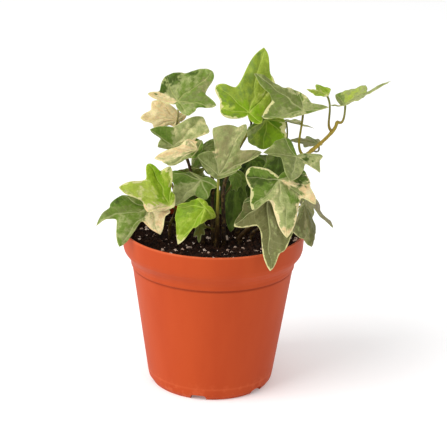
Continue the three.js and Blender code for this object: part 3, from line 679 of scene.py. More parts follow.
perlite, tree, shader, place = blank_material("perlite")
tone = attribute(tree, "tone")
pores = noise(tree, place, 2200.0, 3.0, 0.6)
colour = mix(tree, tone, linear(166, 134, 114), linear(226, 206, 188))
colour = mix(tree, ramp(tree, pores, 0.52, 0.7, 0.0, 0.6), colour, linear(96, 66, 50))
set_inputs(tree, shader, {
    "Base Color": colour, "Roughness": ramp(tree, pores, 0.3, 0.7, 0.75, 0.9),
})
raise_by(tree, shader, pores, 0.0003, 0.8)

# %% [markdown]
# ## Scatter the grains
# The tree spreads points over the top of the bed, puts a small ball on each with its own
# turn, size and stretch, and writes the random tone. The balls have few faces, because there
# are thousands of them. Only faces that look upwards get grains.

# %% Grain scattering tree
ONE_TURN = 6.28
CRUMPLE = 0.7  # strength of the push on a grain's points, as a share of the largest grain

scatter_tree, scatter_in, scatter_out = new_tree("scattered grains", **{
    "Per square metre": ("Float", 1000.0), "Smallest": ("Float", 0.001),
    "Largest": ("Float", 0.002), "Sink": ("Float", 0.0), "Detail": ("Int", 1),
    "Seed": ("Int", 0), "Material": ("Material", None),
})
facing = add_node(scatter_tree, "GeometryNodeInputNormal").outputs[0]
upward = add_node(scatter_tree, "ShaderNodeSeparateXYZ", {"Vector": facing}).outputs["Z"]
on_top = add_node(scatter_tree, "FunctionNodeCompare", {"A": upward, "B": 0.5},
                  data_type="FLOAT", operation="GREATER_THAN").outputs[0]
spread = add_node(scatter_tree, "GeometryNodeDistributePointsOnFaces", {
    "Mesh": scatter_in["Geometry"], "Selection": on_top,
    "Density": scatter_in["Per square metre"], "Seed": scatter_in["Seed"],
}, distribute_method="RANDOM")
ball = add_node(scatter_tree, "GeometryNodeMeshIcoSphere", {
    "Radius": 0.5, "Subdivisions": scatter_in["Detail"],
})


def random_between(low, high, kind, seed_shift):
    """A random value per grain; low and high are numbers, vectors or sockets."""
    made = add_node(scatter_tree, "FunctionNodeRandomValue", data_type=kind)
    usable = [socket for socket in made.inputs if socket.enabled]
    feed(scatter_tree, usable[0], low)
    feed(scatter_tree, usable[1], high)
    seed = calc(scatter_tree, "ADD", scatter_in["Seed"], seed_shift)
    feed(scatter_tree, usable[-1], seed)
    return next(socket for socket in made.outputs if socket.enabled)


size = random_between(scatter_in["Smallest"], scatter_in["Largest"], "FLOAT", 1)
stretch = random_between((0.65, 0.65, 0.5), (1.25, 1.0, 0.9), "FLOAT_VECTOR", 2)
whole = add_node(scatter_tree, "ShaderNodeVectorMath", {0: stretch, "Scale": size},
                 operation="SCALE").outputs[0]
spin = random_between((0.0, 0.0, 0.0), (ONE_TURN, ONE_TURN, ONE_TURN), "FLOAT_VECTOR", 3)
placed = add_node(scatter_tree, "GeometryNodeInstanceOnPoints", {
    "Points": spread.outputs["Points"], "Instance": ball.outputs["Mesh"],
    "Rotation": spin, "Scale": whole,
})
toned = add_node(scatter_tree, "GeometryNodeStoreNamedAttribute", {
    "Geometry": placed.outputs[0], "Name": "tone",
    "Value": random_between(0.0, 1.0, "FLOAT", 4),
}, data_type="FLOAT", domain="INSTANCE")
real = add_node(scatter_tree, "GeometryNodeRealizeInstances", {"Geometry": toned.outputs[0]})
crumple = add_node(scatter_tree, "ShaderNodeTexNoise", {"Scale": 900.0, "Detail": 1.0})
push = add_node(scatter_tree, "ShaderNodeVectorMath", {
    0: crumple.outputs["Color"], 1: (0.5, 0.5, 0.5),
}, operation="SUBTRACT").outputs[0]
push = add_node(scatter_tree, "ShaderNodeVectorMath", {
    0: push, "Scale": calc(scatter_tree, "MULTIPLY", scatter_in["Largest"], CRUMPLE),
}, operation="SCALE").outputs[0]
drop = add_node(scatter_tree, "ShaderNodeCombineXYZ", {
    "Z": calc(scatter_tree, "MULTIPLY", scatter_in["Sink"], -1.0),
}).outputs[0]
shift = add_node(scatter_tree, "ShaderNodeVectorMath", {0: push, 1: drop},
                 operation="ADD").outputs[0]
rough = add_node(scatter_tree, "GeometryNodeSetPosition", {
    "Geometry": real.outputs["Geometry"], "Offset": shift,
})
end_tree(scatter_tree, rough.outputs[0], scatter_in["Material"], scatter_out)


def scatter(name, material, **values):
    """Scatters grains over the bed as a piece of their own."""
    made = bpy.data.objects.new(name, soil_bed.data.copy())
    bpy.context.scene.collection.objects.link(made)
    run_tree(made, scatter_tree, **values, Material=material)
    finish_piece(made, "potting_mix")
    print(name, "faces:", len(made.data.polygons))


GRAIN_INPUTS = ("Per square metre", "Smallest", "Largest", "Sink", "Detail", "Seed")
for name, material, *values in (
    ("peat_crumbs", crumb, 900000.0, 0.0006, 0.0019, 0.0001, 1, 3),
    ("peat_clods", crumb, 60000.0, 0.0020, 0.0036, 0.0004, 2, 8),
    ("perlite_fine", perlite, 26000.0, 0.0004, 0.0012, 0.0, 1, 21),
    ("perlite_grains", perlite, 13000.0, 0.0012, 0.0034, 0.0002, 2, 29),
):
    scatter(name, material, **dict(zip(GRAIN_INPUTS, values)))
soil_bed.data.materials.append(peat)
finish_piece(soil_bed, "potting_mix", "soil")

# %% [markdown]
# ## Stems: the paths
# Ivy stems rise out of the mix and lean to where their leaves are. Each stem's middle line is
# a smooth curve through a few points, the same points and the same kind of curve as in the
# CAD. The curve is of the centripetal Catmull-Rom kind, which goes through every point and
# doesn't overshoot in tight bends.

# %% Middle lines of the stems
SOIL_LEVEL = 87.3  # mm, where the CAD stems stand
UPRIGHT = 90.0  # mm, up to where a stem rises straight
FOOT_DEPTH = 3.5  # mm that a stem goes on down into the mix
STEM_CURVE_STEPS = 24
AROUND = 0.004  # share of a line over which its direction is taken

STEMS = {
    "stem_left_shoot": [(-25, -5), (-25, -5, 94), (-23, -7, 101)],
    "stem_left_tall": [(-6, -13), (-8, -6, 104), (-13, 4, 122), (-17, 6, 134), (-22, 6, 144)],
    "stem_front_low": [(2, -17), (2, -18, 97), (2, -20, 107)],
    "stem_centre": [(0, -13), (-1, -9, 104), (-1, -1, 120), (-3, 5, 134)],
    "stem_crown": [(6, -12), (5.5, -9, 103), (5, -7, 117), (8, -4, 129), (13.5, 0, 141),
                   (17.5, 2, 148), (19.5, 2, 153)],
    "stem_front_right": [(15, -10), (22, -14, 100), (28, -20, 113), (33, -25, 122)],
    "stem_right_low": [(22, -3), (33, -5, 99), (42, -8, 109)],
    "stem_vine": [(14, 2), (26, 6, 106), (37, 8, 120), (45, 8, 129), (53, 8, 136),
                  (60, 9, 142), (65, 10, 147), (68, 11, 151), (69, 11, 155)],
    "stem_back_left": [(-12, 12), (-20, 18, 102), (-26, 24, 112)],
    "stem_back_middle": [(0, 12), (0, 20, 106), (-3, 25, 122)],
    "stem_back_right": [(13, 16), (20, 24, 105), (27, 30, 120)],
}


def curve_through(points, steps):
    """Centripetal Catmull-Rom curve through the points, with steps stretches between two."""
    p = [np.array(q, dtype=float) for q in points]
    p = [2 * p[0] - p[1]] + p + [2 * p[-1] - p[-2]]
    line = []
    for a, b, c, d in zip(p, p[1:], p[2:], p[3:]):
        ab, bc, cd = (math.sqrt(np.linalg.norm(v)) for v in (b - a, c - b, d - c))
        start = ((b - a) / ab - (c - a) / (ab + bc) + (c - b) / bc) * bc
        end = ((c - b) / bc - (d - b) / (bc + cd) + (d - c) / cd) * bc
        for t in np.arange(steps) / steps:
            line.append(b + start * t + (3 * (c - b) - 2 * start - end) * t ** 2
                        + (2 * (b - c) + start + end) * t ** 3)
    return np.array(line + [p[-2]])


def lengths_along(line):
    """Distance from the start of a line to each of its points."""
    return np.append(0, np.cumsum(np.linalg.norm(np.diff(line, axis=0), axis=1)))


def resampled(line, step):
    """The line with its points at even distances."""
    far = lengths_along(line)
    wanted = np.linspace(0, far[-1], max(2, round(far[-1] / step) + 1))
    return np.column_stack([np.interp(wanted, far, line[:, axis]) for axis in range(3)])


def point_at(line, share):
    """Point and direction of a line at a share of its length."""
    far = lengths_along(line)
    ends = [np.array([np.interp(s * far[-1], far, line[:, axis]) for axis in range(3)])
            for s in (max(0.0, share - AROUND), share, min(1.0, share + AROUND))]
    ahead = ends[2] - ends[0]
    return ends[1], ahead / np.linalg.norm(ahead)


stem_lines = {}
for name, (foot, *above) in STEMS.items():
    points = [(*foot, SOIL_LEVEL), (*foot, UPRIGHT), *above]
    stem_lines[name] = curve_through(points, STEM_CURVE_STEPS)
print("stem lengths in mm:",
      {name: round(lengths_along(line)[-1]) for name, line in stem_lines.items()})

# %% [markdown]
# ## Round stalks by Geometry Nodes
# A stalk could be skinned by hand, but everything that it needs follows its path, so a tree
# does it: loose edges become curves, a point attribute gives the radius, and a circle is
# swept along. Faces that were there before pass through untouched, so the same tree serves a
# bare stem and a leaf whose mesh holds both the blade and the line of its petiole.

# %% Stalk tree
stalk_tree, stalk_in, stalk_out = new_tree(
    "round stalks", **{"Sides": ("Int", 10), "Material": ("Material", None)},
)
is_line = add_node(stalk_tree, "GeometryNodeInputNamedAttribute", {"Name": "stalk"},
                   data_type="FLOAT").outputs["Attribute"]
is_line = add_node(stalk_tree, "FunctionNodeCompare", {"A": is_line, "B": 0.5},
                   data_type="FLOAT", operation="GREATER_THAN").outputs[0]
width = add_node(stalk_tree, "GeometryNodeInputNamedAttribute", {"Name": "thick"},
                 data_type="FLOAT").outputs["Attribute"]
lines = add_node(stalk_tree, "GeometryNodeMeshToCurve", {
    "Mesh": stalk_in["Geometry"], "Selection": is_line,
})
ring = add_node(stalk_tree, "GeometryNodeCurvePrimitiveCircle", {
    "Resolution": stalk_in["Sides"], "Radius": 1.0,
}, mode="RADIUS")
tube = add_node(stalk_tree, "GeometryNodeCurveToMesh", {
    "Curve": lines.outputs[0], "Profile Curve": ring.outputs["Curve"], "Scale": width,
    "Fill Caps": True,
})
kept = add_node(stalk_tree, "GeometryNodeDeleteGeometry", {
    "Geometry": stalk_in["Geometry"], "Selection": is_line,
}, mode="ALL", domain="POINT")
both = add_node(stalk_tree, "GeometryNodeJoinGeometry")
stalk_tree.links.new(tube.outputs["Mesh"], both.inputs[0])
stalk_tree.links.new(kept.outputs["Geometry"], both.inputs[0])
smooth = add_node(stalk_tree, "GeometryNodeSetShadeSmooth", {"Geometry": both.outputs[0]})
end_tree(stalk_tree, smooth.outputs[0], stalk_in["Material"], stalk_out)
print("stalk tree has", len(stalk_tree.nodes), "nodes")

# %% [markdown]
# ## Bark of a young stem
# A young ivy stem is smooth and waxy, olive at its tip and brown at its foot, with faint
# streaks along it and a swollen ring where each petiole leaves. The colour runs along the
# path as a point attribute, and the streaks are noise that is stretched upwards.

# %% Finish of the stems
bark, tree, shader, place = blank_material("young bark")
ground = attribute(tree, "ground", "Color")
streak_place = add_node(tree, "ShaderNodeMapping", {"Vector": place, "Scale": (1.0, 1.0, 0.22)})
streaks = noise(tree, streak_place.outputs[0], 1500.0, 3.0, 0.6)
freckles = noise(tree, place, 500.0, 2.0)
colour = mix(tree, ramp(tree, streaks, 0.42, 0.7, 0.0, 0.45), ground, linear(70, 44, 18))
colour = mix(tree, ramp(tree, freckles, 0.5, 0.68, 0.0, 0.3), colour, linear(150, 124, 62))
set_inputs(tree, shader, {
    "Base Color": colour, "Roughness": ramp(tree, freckles, 0.3, 0.7, 0.42, 0.6),
    "Specular IOR Level": 0.15, "Subsurface Weight": 0.08,
    "Subsurface Radius": (1.0, 0.8, 0.3), "Subsurface Scale": 0.0008,
})
raise_by(tree, shader, streaks, 0.0002, 0.5)

# %% [markdown]
# ## Make the stems
# A stem is brown and thickest where it comes out of the mix, and greener or paler further up.
# So each has a row of radii in mm and a row of colours, both spread evenly from the foot to
# the tip. It swells where a leaf leaves it, which the stalk tree takes from the same radii.
# The stems are made last, when the leaves that grow on them are known.

# %% Stems
BROWN_FOOT = linear(30, 20, 11)
BROWN = linear(52, 38, 18)
OLIVE = linear(96, 90, 32)
YELLOW_GREEN = linear(124, 124, 38)
TAN = linear(158, 142, 52)
BUFF = linear(166, 142, 54)

STEM_LOOKS = {
    "stem_left_shoot": ([1.2, 0.9, 0.8], [BROWN_FOOT, BROWN, OLIVE]),
    "stem_left_tall": ([1.4, 1.0, 0.8], [BROWN_FOOT, BROWN, BROWN, BROWN, OLIVE]),
    "stem_front_low": ([1.35, 1.2, 1.05], [BROWN_FOOT, BROWN_FOOT, BROWN, OLIVE]),
    "stem_centre": ([1.3, 1.0, 0.8], [BROWN_FOOT, BROWN, BROWN, OLIVE]),
    "stem_crown": ([1.3, 1.05, 0.9], [BROWN_FOOT, BROWN_FOOT, BROWN, OLIVE, YELLOW_GREEN]),
    "stem_front_right": ([1.4, 1.1, 0.9], [BROWN_FOOT, BROWN, OLIVE, OLIVE]),
    "stem_right_low": ([1.2, 0.9, 0.8], [BROWN_FOOT, BROWN, OLIVE]),
    "stem_vine": ([1.5, 1.3, 1.15, 1.05, 0.95],
                  [BROWN_FOOT, BROWN, OLIVE, YELLOW_GREEN, TAN, BUFF, TAN]),
    "stem_back_left": ([1.2, 0.9, 0.8], [BROWN_FOOT, BROWN, OLIVE]),
    "stem_back_middle": ([1.2, 0.9, 0.8], [BROWN_FOOT, BROWN, OLIVE]),
    "stem_back_right": ([1.2, 0.9, 0.8], [BROWN_FOOT, BROWN, OLIVE]),
}
STEM_STEP = 0.9  # mm between two rings of a stem
STEM_SIDES = 14
NODE_SWELL = 0.2
NODE_LENGTH = 1.5  # mm over which a stem is swollen at a leaf
BUD_LENGTH = 2.5  # mm over which the tip rounds off
BUD_END = 0.12  # share of the stem's radius that is left at the very tip
RIPPLE, RIPPLE_PACE = 0.05, 1.7  # slight thick and thin places along a stem


def colour_row(colours, shares):
    """Colours spread evenly along a path."""
    colours = np.array(colours)
    stops = np.linspace(0, 1, len(colours))
    return np.column_stack([np.interp(shares, stops, colours[:, c]) for c in range(4)])


def make_stem(name, nodes_at):
    """One stem, swollen at the shares of its length where leaves leave it."""
    radii, colours = STEM_LOOKS[name]
    line = stem_lines[name]
    line = np.vstack([line[0] - [0, 0, FOOT_DEPTH], line])
    line = resampled(line, STEM_STEP)
    far = lengths_along(line)
    share = far / far[-1]
    thick = np.interp(share, np.linspace(0, 1, len(radii)), radii)
    for at in nodes_at:
        middle = FOOT_DEPTH + at * (far[-1] - FOOT_DEPTH)
        thick = thick * (1 + NODE_SWELL * np.exp(-((far - middle) / NODE_LENGTH) ** 2))
    thick = thick * (1 + RIPPLE * np.sin(far * RIPPLE_PACE + len(name)))
    to_tip = np.clip((far[-1] - far) / BUD_LENGTH, 0, 1)
    thick = thick * np.maximum(BUD_END, np.sqrt(1 - (1 - to_tip) ** 2))
    edges = zip(range(len(line) - 1), range(1, len(line)))
    made = mesh_object(name + "_bark", line * MM, [], edges)
    store(made, "stalk", np.ones(len(line)))
    store(made, "thick", thick * MM)
    store(made, "ground", colour_row(colours, share))
    run_tree(made, stalk_tree, **{"Sides": STEM_SIDES, "Material": bark})
    finish_piece(made, "stem_bark", name)

# %% [markdown]
# ## Leaves: the shape
# Each leaf is given as in the CAD: the stem that it grows on and how far up, the point where
# the petiole meets the blade, and five lobe tips, counter-clockwise as seen on the upper
# side, starting and ending beside the petiole. `sinus` says how far each gap between lobes
# stays out, and `blunt` how round each tip is. Where given, `gap_at` says how far each gap
# lies from one lobe to the next, `ears` how full the two ears beside the petiole are, and
# `via` pulls a petiole clear of its neighbours. All lengths are millimetres.

# %% Leaf table
LEAVES = {
    "leaf_upper_left": {"stem": "stem_left_tall", "at": 1, "base": (-22, 2, 166),
        "via": (-20, 3, 154),
        "tips": ((-14.5, -3, 159.5), (0, -3, 165.5), (-2.5, 9, 182),
                 (-29, 9, 178.5), (-38.5, 0, 170.5)),
        "sinus": (0.8, 0.75, 1.08, 0.78), "blunt": (0.6, 0.1, 0.8, 0.7, 0.3),
        "gap_at": (0.6, 0.45, 0.5, 0.65), "ears": (1, 0.6)},
    "leaf_cream": {"stem": "stem_left_tall", "at": 0.97, "base": (-22, 9, 154),
        "tips": ((-17, 12, 157), (-36.5, 12, 163.5), (-43, 5, 155), (-35, 5, 149.5), (-25, 8, 150)),
        "sinus": (0.8, 0.88, 0.9, 0.9), "blunt": (0.6, 0.5, 0.4, 0.4, 0.6)},
    "leaf_left_tall": {"stem": "stem_left_tall", "at": 0.92, "base": (-24, -1, 140.5),
        "tips": ((-11, -4, 146.5), (-3.5, -1, 150), (-7.5, 4, 157),
                 (-37, -4, 151), (-32.5, -6, 141.5)),
        "sinus": (0.95, 1, 0.88, 0.62), "blunt": (0.7, 0.5, 0.4, 0.2, 0.3),
        "gap_at": (0.4, 0.5, 0.48, 0.2), "ears": (0.4, 0.2)},
    "leaf_left_streaked": {"stem": "stem_left_tall", "at": 0.8, "base": (-10, -8, 141),
        "tips": ((-8, -6, 146), (-17, -7, 146), (-34, -14, 137),
                 (-26.5, -16, 134), (-13, -12, 137)),
        "sinus": (0.9, 0.95, 1, 0.95), "blunt": (0.5, 0.5, 0.1, 0.5, 0.5)},
    "leaf_centre_small": {"stem": "stem_centre", "at": 0.99, "base": (-7, 8, 138),
        "tips": ((-13, 11, 142.5), (-18, 12, 134), (-13, 8, 126), (-1.5, 7, 130.5), (2, 9, 142.5)),
        "sinus": (0.85, 0.8, 0.8, 1), "blunt": (0.3, 0.2, 0.2, 0.2, 0.5)},
    "leaf_centre": {"stem": "stem_front_low", "at": 1, "base": (2, -22, 130.5),
        "via": (2, -21, 122),
        "tips": ((12, -22, 133), (26, -16, 143), (17, -8, 156.5),
                 (-1.5, -14, 155.5), (-9.5, -26, 143)),
        "sinus": (0.84, 0.64, 0.96, 0.52), "blunt": (0.5, 0.1, 0.3, 0.1, 0.3),
        "gap_at": (0.6, 0.65, 0.22, 0.03), "ears": (0.3, 0.55)},
    "leaf_left_bright": {"stem": "stem_left_shoot", "at": 1, "base": (-25, -18, 111),
        "via": (-21, -13, 108),
        "tips": ((-23, -14, 117), (-25, -8, 131), (-37.5, -8, 132.5),
                 (-53, -24, 123), (-37, -26, 110)),
        "sinus": (0.9, 0.86, 0.77, 0.82), "blunt": (0.5, 0.2, 0.6, 0.2, 0.6),
        "gap_at": (0.25, 0.55, 0.35, 0.5), "ears": (1, 0.25)},
    "leaf_left_low": {"stem": "stem_left_shoot", "at": 0.65, "base": (-36, -14, 108),
        "tips": ((-52.5, -13, 114.5), (-65.5, -24, 104), (-52, -33, 91), (-29.5, -25, 96),
                 (-24.5, -20, 107.5)),
        "sinus": (1, 0.69, 0.4, 0.87), "blunt": (0.1, 0.05, 0.12, 0, 0.5),
        "gap_at": (0.6, 0.2, 0.2, 0.7), "ears": (0.8, 1)},
    "leaf_middle": {"stem": "stem_centre", "at": 0.6, "base": (-7.5, -4, 122),
        "tips": ((-14, 1, 125.5), (-24.5, 2, 125), (-23.5, -7, 107.5),
                 (-4, -13, 113.5), (1.5, -8, 119.5)),
        "sinus": (0.95, 0.95, 0.68, 0.8), "blunt": (0.3, 0.3, 0.4, 0.3, 0.6),
        "gap_at": (0.35, 0.45, 0.4, 0.6), "ears": (0, 1.2)},
    "leaf_lime": {"stem": "stem_left_shoot", "at": 0.7, "base": (-5, -23, 112),
        "via": (-14, -17, 103),
        "tips": ((-10, -17, 115), (-20.5, -18, 111), (-19.5, -31, 92.5),
                 (-7.5, -29, 104), (1, -22, 106.5)),
        "sinus": (1, 1.06, 0.9, 0.95), "blunt": (0.5, 0.3, 0.05, 0.4, 0.3),
        "gap_at": (0.5, 0.5, 0.5, 0.45), "ears": (1, 1)},
    "leaf_low_small": {"stem": "stem_front_low", "at": 0.5, "base": (-8, -15, 100),
        "tips": ((-11, -15, 97), (-11, -18, 93), (-8, -20, 90), (-5, -18, 94), (-4, -15, 97)),
        "sinus": (0.8, 0.8, 0.8, 0.8), "blunt": (0.3, 0.2, 0.2, 0.2, 0.3)},
    "leaf_centre_dark": {"stem": "stem_back_middle", "at": 0.7, "base": (12.5, 10, 122),
        "via": (7, 14, 116),
        "tips": ((1.5, 9, 118), (2.5, 4, 100.5), (10, -3, 91), (19, 2, 103), (19, 8, 117)),
        "sinus": (0.9, 0.92, 0.88, 0.9), "blunt": (0.4, 0.2, 0.15, 0.2, 0.4)},
    "leaf_front_right": {"stem": "stem_front_right", "at": 1, "base": (35, -34, 132.5),
        "tips": ((16.5, -36, 135), (20.5, -46, 119), (39.5, -54, 106),
                 (55, -42, 121.5), (50, -28, 135)),
        "sinus": (0.92, 0.58, 0.66, 1), "blunt": (1, 0.15, 0.1, 0.2, 0.8),
        "gap_at": (0.45, 0.34, 0.88, 0.5), "ears": (1.3, 1)},
    "leaf_front_low": {"stem": "stem_front_right", "at": 0.8, "base": (29, -34, 121),
        "tips": ((16, -32, 118), (11, -42, 107.5), (31, -57, 88), (42.5, -48, 106), (43, -32, 112)),
        "sinus": (0.95, 0.58, 1, 0.9), "blunt": (0.5, 0.1, 0.1, 0.3, 0.5),
        "gap_at": (0.35, 0.55, 0.38, 0.6)},
    "leaf_right_low": {"stem": "stem_right_low", "at": 0.98, "base": (50, -20, 114),
        "tips": ((46.5, -26, 111.5), (43.5, -32, 102), (55, -24, 90.5),
                 (58, -14, 99), (56.5, -10, 106)),
        "sinus": (0.85, 0.95, 1, 0.8), "blunt": (0.5, 0.3, 0.1, 0.4, 0.5),
        "gap_at": (0.3, 0.65, 0.6, 0.35)},
    "leaf_right_narrow": {"stem": "stem_right_low", "at": 0.9, "base": (48, -4, 118),
        "tips": ((50, -6, 108.5), (55, -8, 107), (68, -8, 96.5), (60.5, 0, 107), (53, 2, 116)),
        "sinus": (0.8, 0.82, 0.9, 0.8), "blunt": (0.3, 0.2, 0.1, 0.2, 0.3)},
    "leaf_right": {"stem": "stem_vine", "at": 0.55, "base": (44.5, -20, 141.5),
        "tips": ((38, -13, 150.5), (26, -25, 145), (40.5, -43, 134.5),
                 (58.5, -21, 134), (60, -13, 141)),
        "sinus": (1.05, 0.56, 0.44, 0.9), "blunt": (1, 0.1, 0.1, 0, 0.1),
        "gap_at": (0.6, 0.25, 0.86, 0.6), "ears": (1.5, 1)},
    "leaf_crown": {"stem": "stem_crown", "at": 1, "base": (18, -2, 161.5),
        "tips": ((25.5, -5.5, 157), (33, 9, 175.5), (26, 15, 195.5),
                 (-0.5, 5, 175), (2, -5, 163.5)),
        "sinus": (0.9, 0.97, 0.68, 0.95), "blunt": (0.8, 0.5, 0.15, 0.8, 0.8),
        "ears": (1.2, 1.1)},
    "leaf_upper_right": {"stem": "stem_vine", "at": 0.68, "base": (48.5, -3, 163.5),
        "via": (48.5, 3.5, 148.5),
        "tips": ((63, 1, 165), (44.5, 5, 173.5), (20.5, -1, 184),
                 (25.5, -9, 160.5), (41, -10, 161)),
        "sinus": (0.72, 0.87, 0.72, 1.02), "blunt": (0.1, 0.3, 0.1, 0.3, 0.5),
        "gap_at": (0.4, 0.55, 0.45, 0.45), "ears": (0.1, 0.1)},
    "leaf_under_crown": {"stem": "stem_crown", "at": 0.93, "base": (28.5, 6, 156),
        "tips": ((17, -6, 152), (18.5, -7, 145.5), (27, -1, 140), (40, 2, 146), (39.5, 7, 154.5)),
        "sinus": (1, 1, 1, 0.94), "blunt": (0.5, 0.3, 0.3, 0.3, 0.4),
        "gap_at": (0.5, 0.5, 0.4, 0.4), "ears": (0.3, 1)},
    "leaf_flat_upper": {"stem": "stem_vine", "at": 0.5, "base": (40, 14, 153), "via": (44, 17, 138),
        "tips": ((41, 6, 155), (47, 0, 156), (56, 10, 150), (49, 26, 151), (41, 22, 152)),
        "sinus": (0.8, 0.8, 0.8, 0.8), "blunt": (0.3, 0.2, 0.1, 0.2, 0.3)},
    "leaf_flat_lower": {"stem": "stem_vine", "at": 0.75, "base": (60, 24, 137),
        "tips": ((60.5, 32, 138.5), (53.5, 32, 140.5), (42, 18, 141),
                 (51, 13, 138.5), (57, 17, 137.5)),
        "sinus": (0.8, 0.8, 0.8, 0.8), "blunt": (0.3, 0.2, 0.1, 0.2, 0.3),
        "ears": (0.6, 0.4)},
    "leaf_tip_small": {"stem": "stem_vine", "at": 0.92, "base": (61.5, 9, 171), "via": (67, 9, 164),
        "tips": ((64.5, 13, 172.5), (56.5, 14, 175.5), (50, 4, 174.5),
                 (55, 2, 171.5), (59.5, 3, 170.5)),
        "sinus": (1.05, 0.62, 0.9, 0.9), "blunt": (0.7, 0.2, 0.05, 0.3, 0.5),
        "gap_at": (0.5, 0.8, 0.6, 0.6), "ears": (0.1, 0.2)},
    "leaf_tip_right": {"stem": "stem_vine", "at": 0.99, "base": (73, 12, 164), "via": (73, 10, 160),
        "tips": ((63, 4, 166.5), (80.5, 5, 170), (99, 18, 177), (85.5, 25, 172.5), (68, 22, 168.5)),
        "sinus": (0.45, 0.9, 0.65, 0.95), "blunt": (0.05, 0.4, 0.05, 0.3, 0.7),
        "gap_at": (0.5, 0.3, 0.4, 0.65), "ears": (0.4, 0.7)},
    "leaf_inner_low": {"stem": "stem_crown", "at": 0.4, "base": (12, 2, 123),
        "tips": ((8, 2, 121), (9.5, -1, 115.5), (12.5, -2, 115), (15, 0, 117.5), (15.5, 3, 121)),
        "sinus": (0.9, 0.9, 0.9, 0.9), "blunt": (0.4, 0.3, 0.2, 0.3, 0.4)},
    "leaf_inner_right": {"stem": "stem_back_right", "at": 0.9, "base": (20, 18, 128.5),
        "tips": ((12.5, 19, 126), (13.5, 15, 113.5), (19, 11, 102.5),
                 (28, 14, 113), (29.5, 18, 126)),
        "sinus": (0.85, 0.85, 0.85, 0.85), "blunt": (0.4, 0.2, 0.15, 0.2, 0.4)},
    "leaf_inner_left": {"stem": "stem_back_middle", "at": 0.5, "base": (-8, 13, 117),
        "tips": ((-18, 13, 114.5), (-20, 10, 103), (-9.5, 8, 91), (2, 9, 98), (2, 12, 114)),
        "sinus": (0.95, 0.95, 0.92, 0.92), "blunt": (0.5, 0.4, 0.3, 0.3, 0.5)},
    "leaf_right_inner": {"stem": "stem_vine", "at": 0.4, "base": (36, 8, 135),
        "tips": ((29, 8, 132.5), (27, 4, 125.5), (35, 0, 119), (40.5, 3, 126.5), (41, 8, 133)),
        "sinus": (0.9, 0.9, 0.9, 0.9), "blunt": (0.3, 0.2, 0.2, 0.2, 0.3)},
}

# Leaves on the far side share one pattern: stem, how far up, base, heading in degrees from
# +X seen from above, pitch of the main lobe, and its length.
BACK_LEAVES = {
    "leaf_back_left": ("stem_back_left", 1, (-33, 30, 114), 140, -30, 24),
    "leaf_back_left_low": ("stem_back_left", 0.55, (-36, 14, 109), 175, -35, 22),
    "leaf_back_left_inner": ("stem_back_left", 0.8, (-15, 34, 116), 110, -45, 20),
    "leaf_back_middle": ("stem_back_middle", 1, (0, 34, 124), 97, -40, 25),
    "leaf_back_middle_low": ("stem_back_middle", 0.4, (4, 34, 104), 80, -30, 20),
    "leaf_back_right": ("stem_back_right", 0.99, (35, 36, 124), 60, -35, 25),
    "leaf_back_right_low": ("stem_back_right", 0.6, (36, 24, 110), 20, -30, 22),
    "leaf_back_right_inner": ("stem_back_right", 0.7, (21, 29, 128), 50, -40, 17),
}
PATTERN_ANGLES = (-115, -52, 0, 52, 115)  # degrees from the main lobe
PATTERN_LENGTHS = (0.5, 0.78, 1, 0.78, 0.5)  # shares of the main lobe
PATTERN_DROOP = 0.12  # fall of a side lobe, as a share of its reach to the side
PATTERN_FORM = {"sinus": (0.86, 0.74, 0.74, 0.86), "blunt": (0.5, 0.15, 0.08, 0.15, 0.5)}


def pattern_tips(base, heading, pitch, length):
    """Lobe tips of a leaf of the common pattern."""
    turn, rise = math.radians(heading), math.radians(pitch)
    level = math.cos(rise)
    along = np.array([level * math.cos(turn), level * math.sin(turn), math.sin(rise)])
    left = np.array([-math.sin(turn), math.cos(turn), 0.0])
    tips = []
    for degrees, share in zip(PATTERN_ANGLES, PATTERN_LENGTHS):
        a, size = math.radians(degrees), share * length
        tip = np.array(base) + size * (math.cos(a) * along + math.sin(a) * left)
        tip[2] -= PATTERN_DROOP * size * abs(math.sin(a))
        tips.append(tip)
    return tips


for name, (stem, at, base, heading, pitch, length) in BACK_LEAVES.items():
    tips = pattern_tips(base, heading, pitch, length)
    LEAVES[name] = {"stem": stem, "at": at, "base": base, "tips": tips, **PATTERN_FORM}
print(len(LEAVES), "leaves")

# %% [markdown]
# ## Leaves: the margin
# The blade has a flat frame of its own: along its main lobe, to its left, and up out of its
# upper side. In that frame the margin is a chain of cubic curves from tip to gap and gap to
# tip, and two round ears that end in the notch at the petiole. The curves are the CAD's, but
# with many more points, and these crowd towards the tips, where the bends are tightest.

# %% Margin of a blade
# The reaches and swells are shares of the distance from the tip to the gap or the notch.
NOTCH_DEPTH = 2.0  # mm of blade behind the point where the petiole joins
TIP_REACH = 0.42
FLANK_SWELL = 0.14
GAP_REACH = 0.24
GAP_SWELL = 0.05
EAR_REACH = 0.4
EAR_SHARPEST = 0.35
EAR_NOTCH_REACH = 0.3
EAR_LEAN = 0.6
CURVE_POINTS = 22
TIP_CROWDING = 1.3
LOBE_CURVE = 1.5  # power of the way to its tip by which a lobe rises or droops


def blade_frame(leaf):
    """Origin, the three axes, and each lobe as (angle, length, lift)."""
    origin = np.array(leaf["base"], dtype=float)
    arms = np.array(leaf["tips"], dtype=float) - origin
    along = arms[2] / np.linalg.norm(arms[2])
    up = np.cross(arms[:-1], arms[1:]).sum(axis=0)
    up -= up.dot(along) * along
    up /= np.linalg.norm(up)
    left = np.cross(up, along)
    lobes = [(math.atan2(arm @ left, arm @ along), math.hypot(arm @ along, arm @ left), arm @ up)
             for arm in arms]
    return origin, np.array([along, left, up]), lobes


def at_angle(radius, angle):
    """Point of the plane at this angle and distance."""
    return np.array([radius * math.cos(angle), radius * math.sin(angle)])


def unit(vector):
    """The vector made 1 long."""
    return vector / np.linalg.norm(vector)


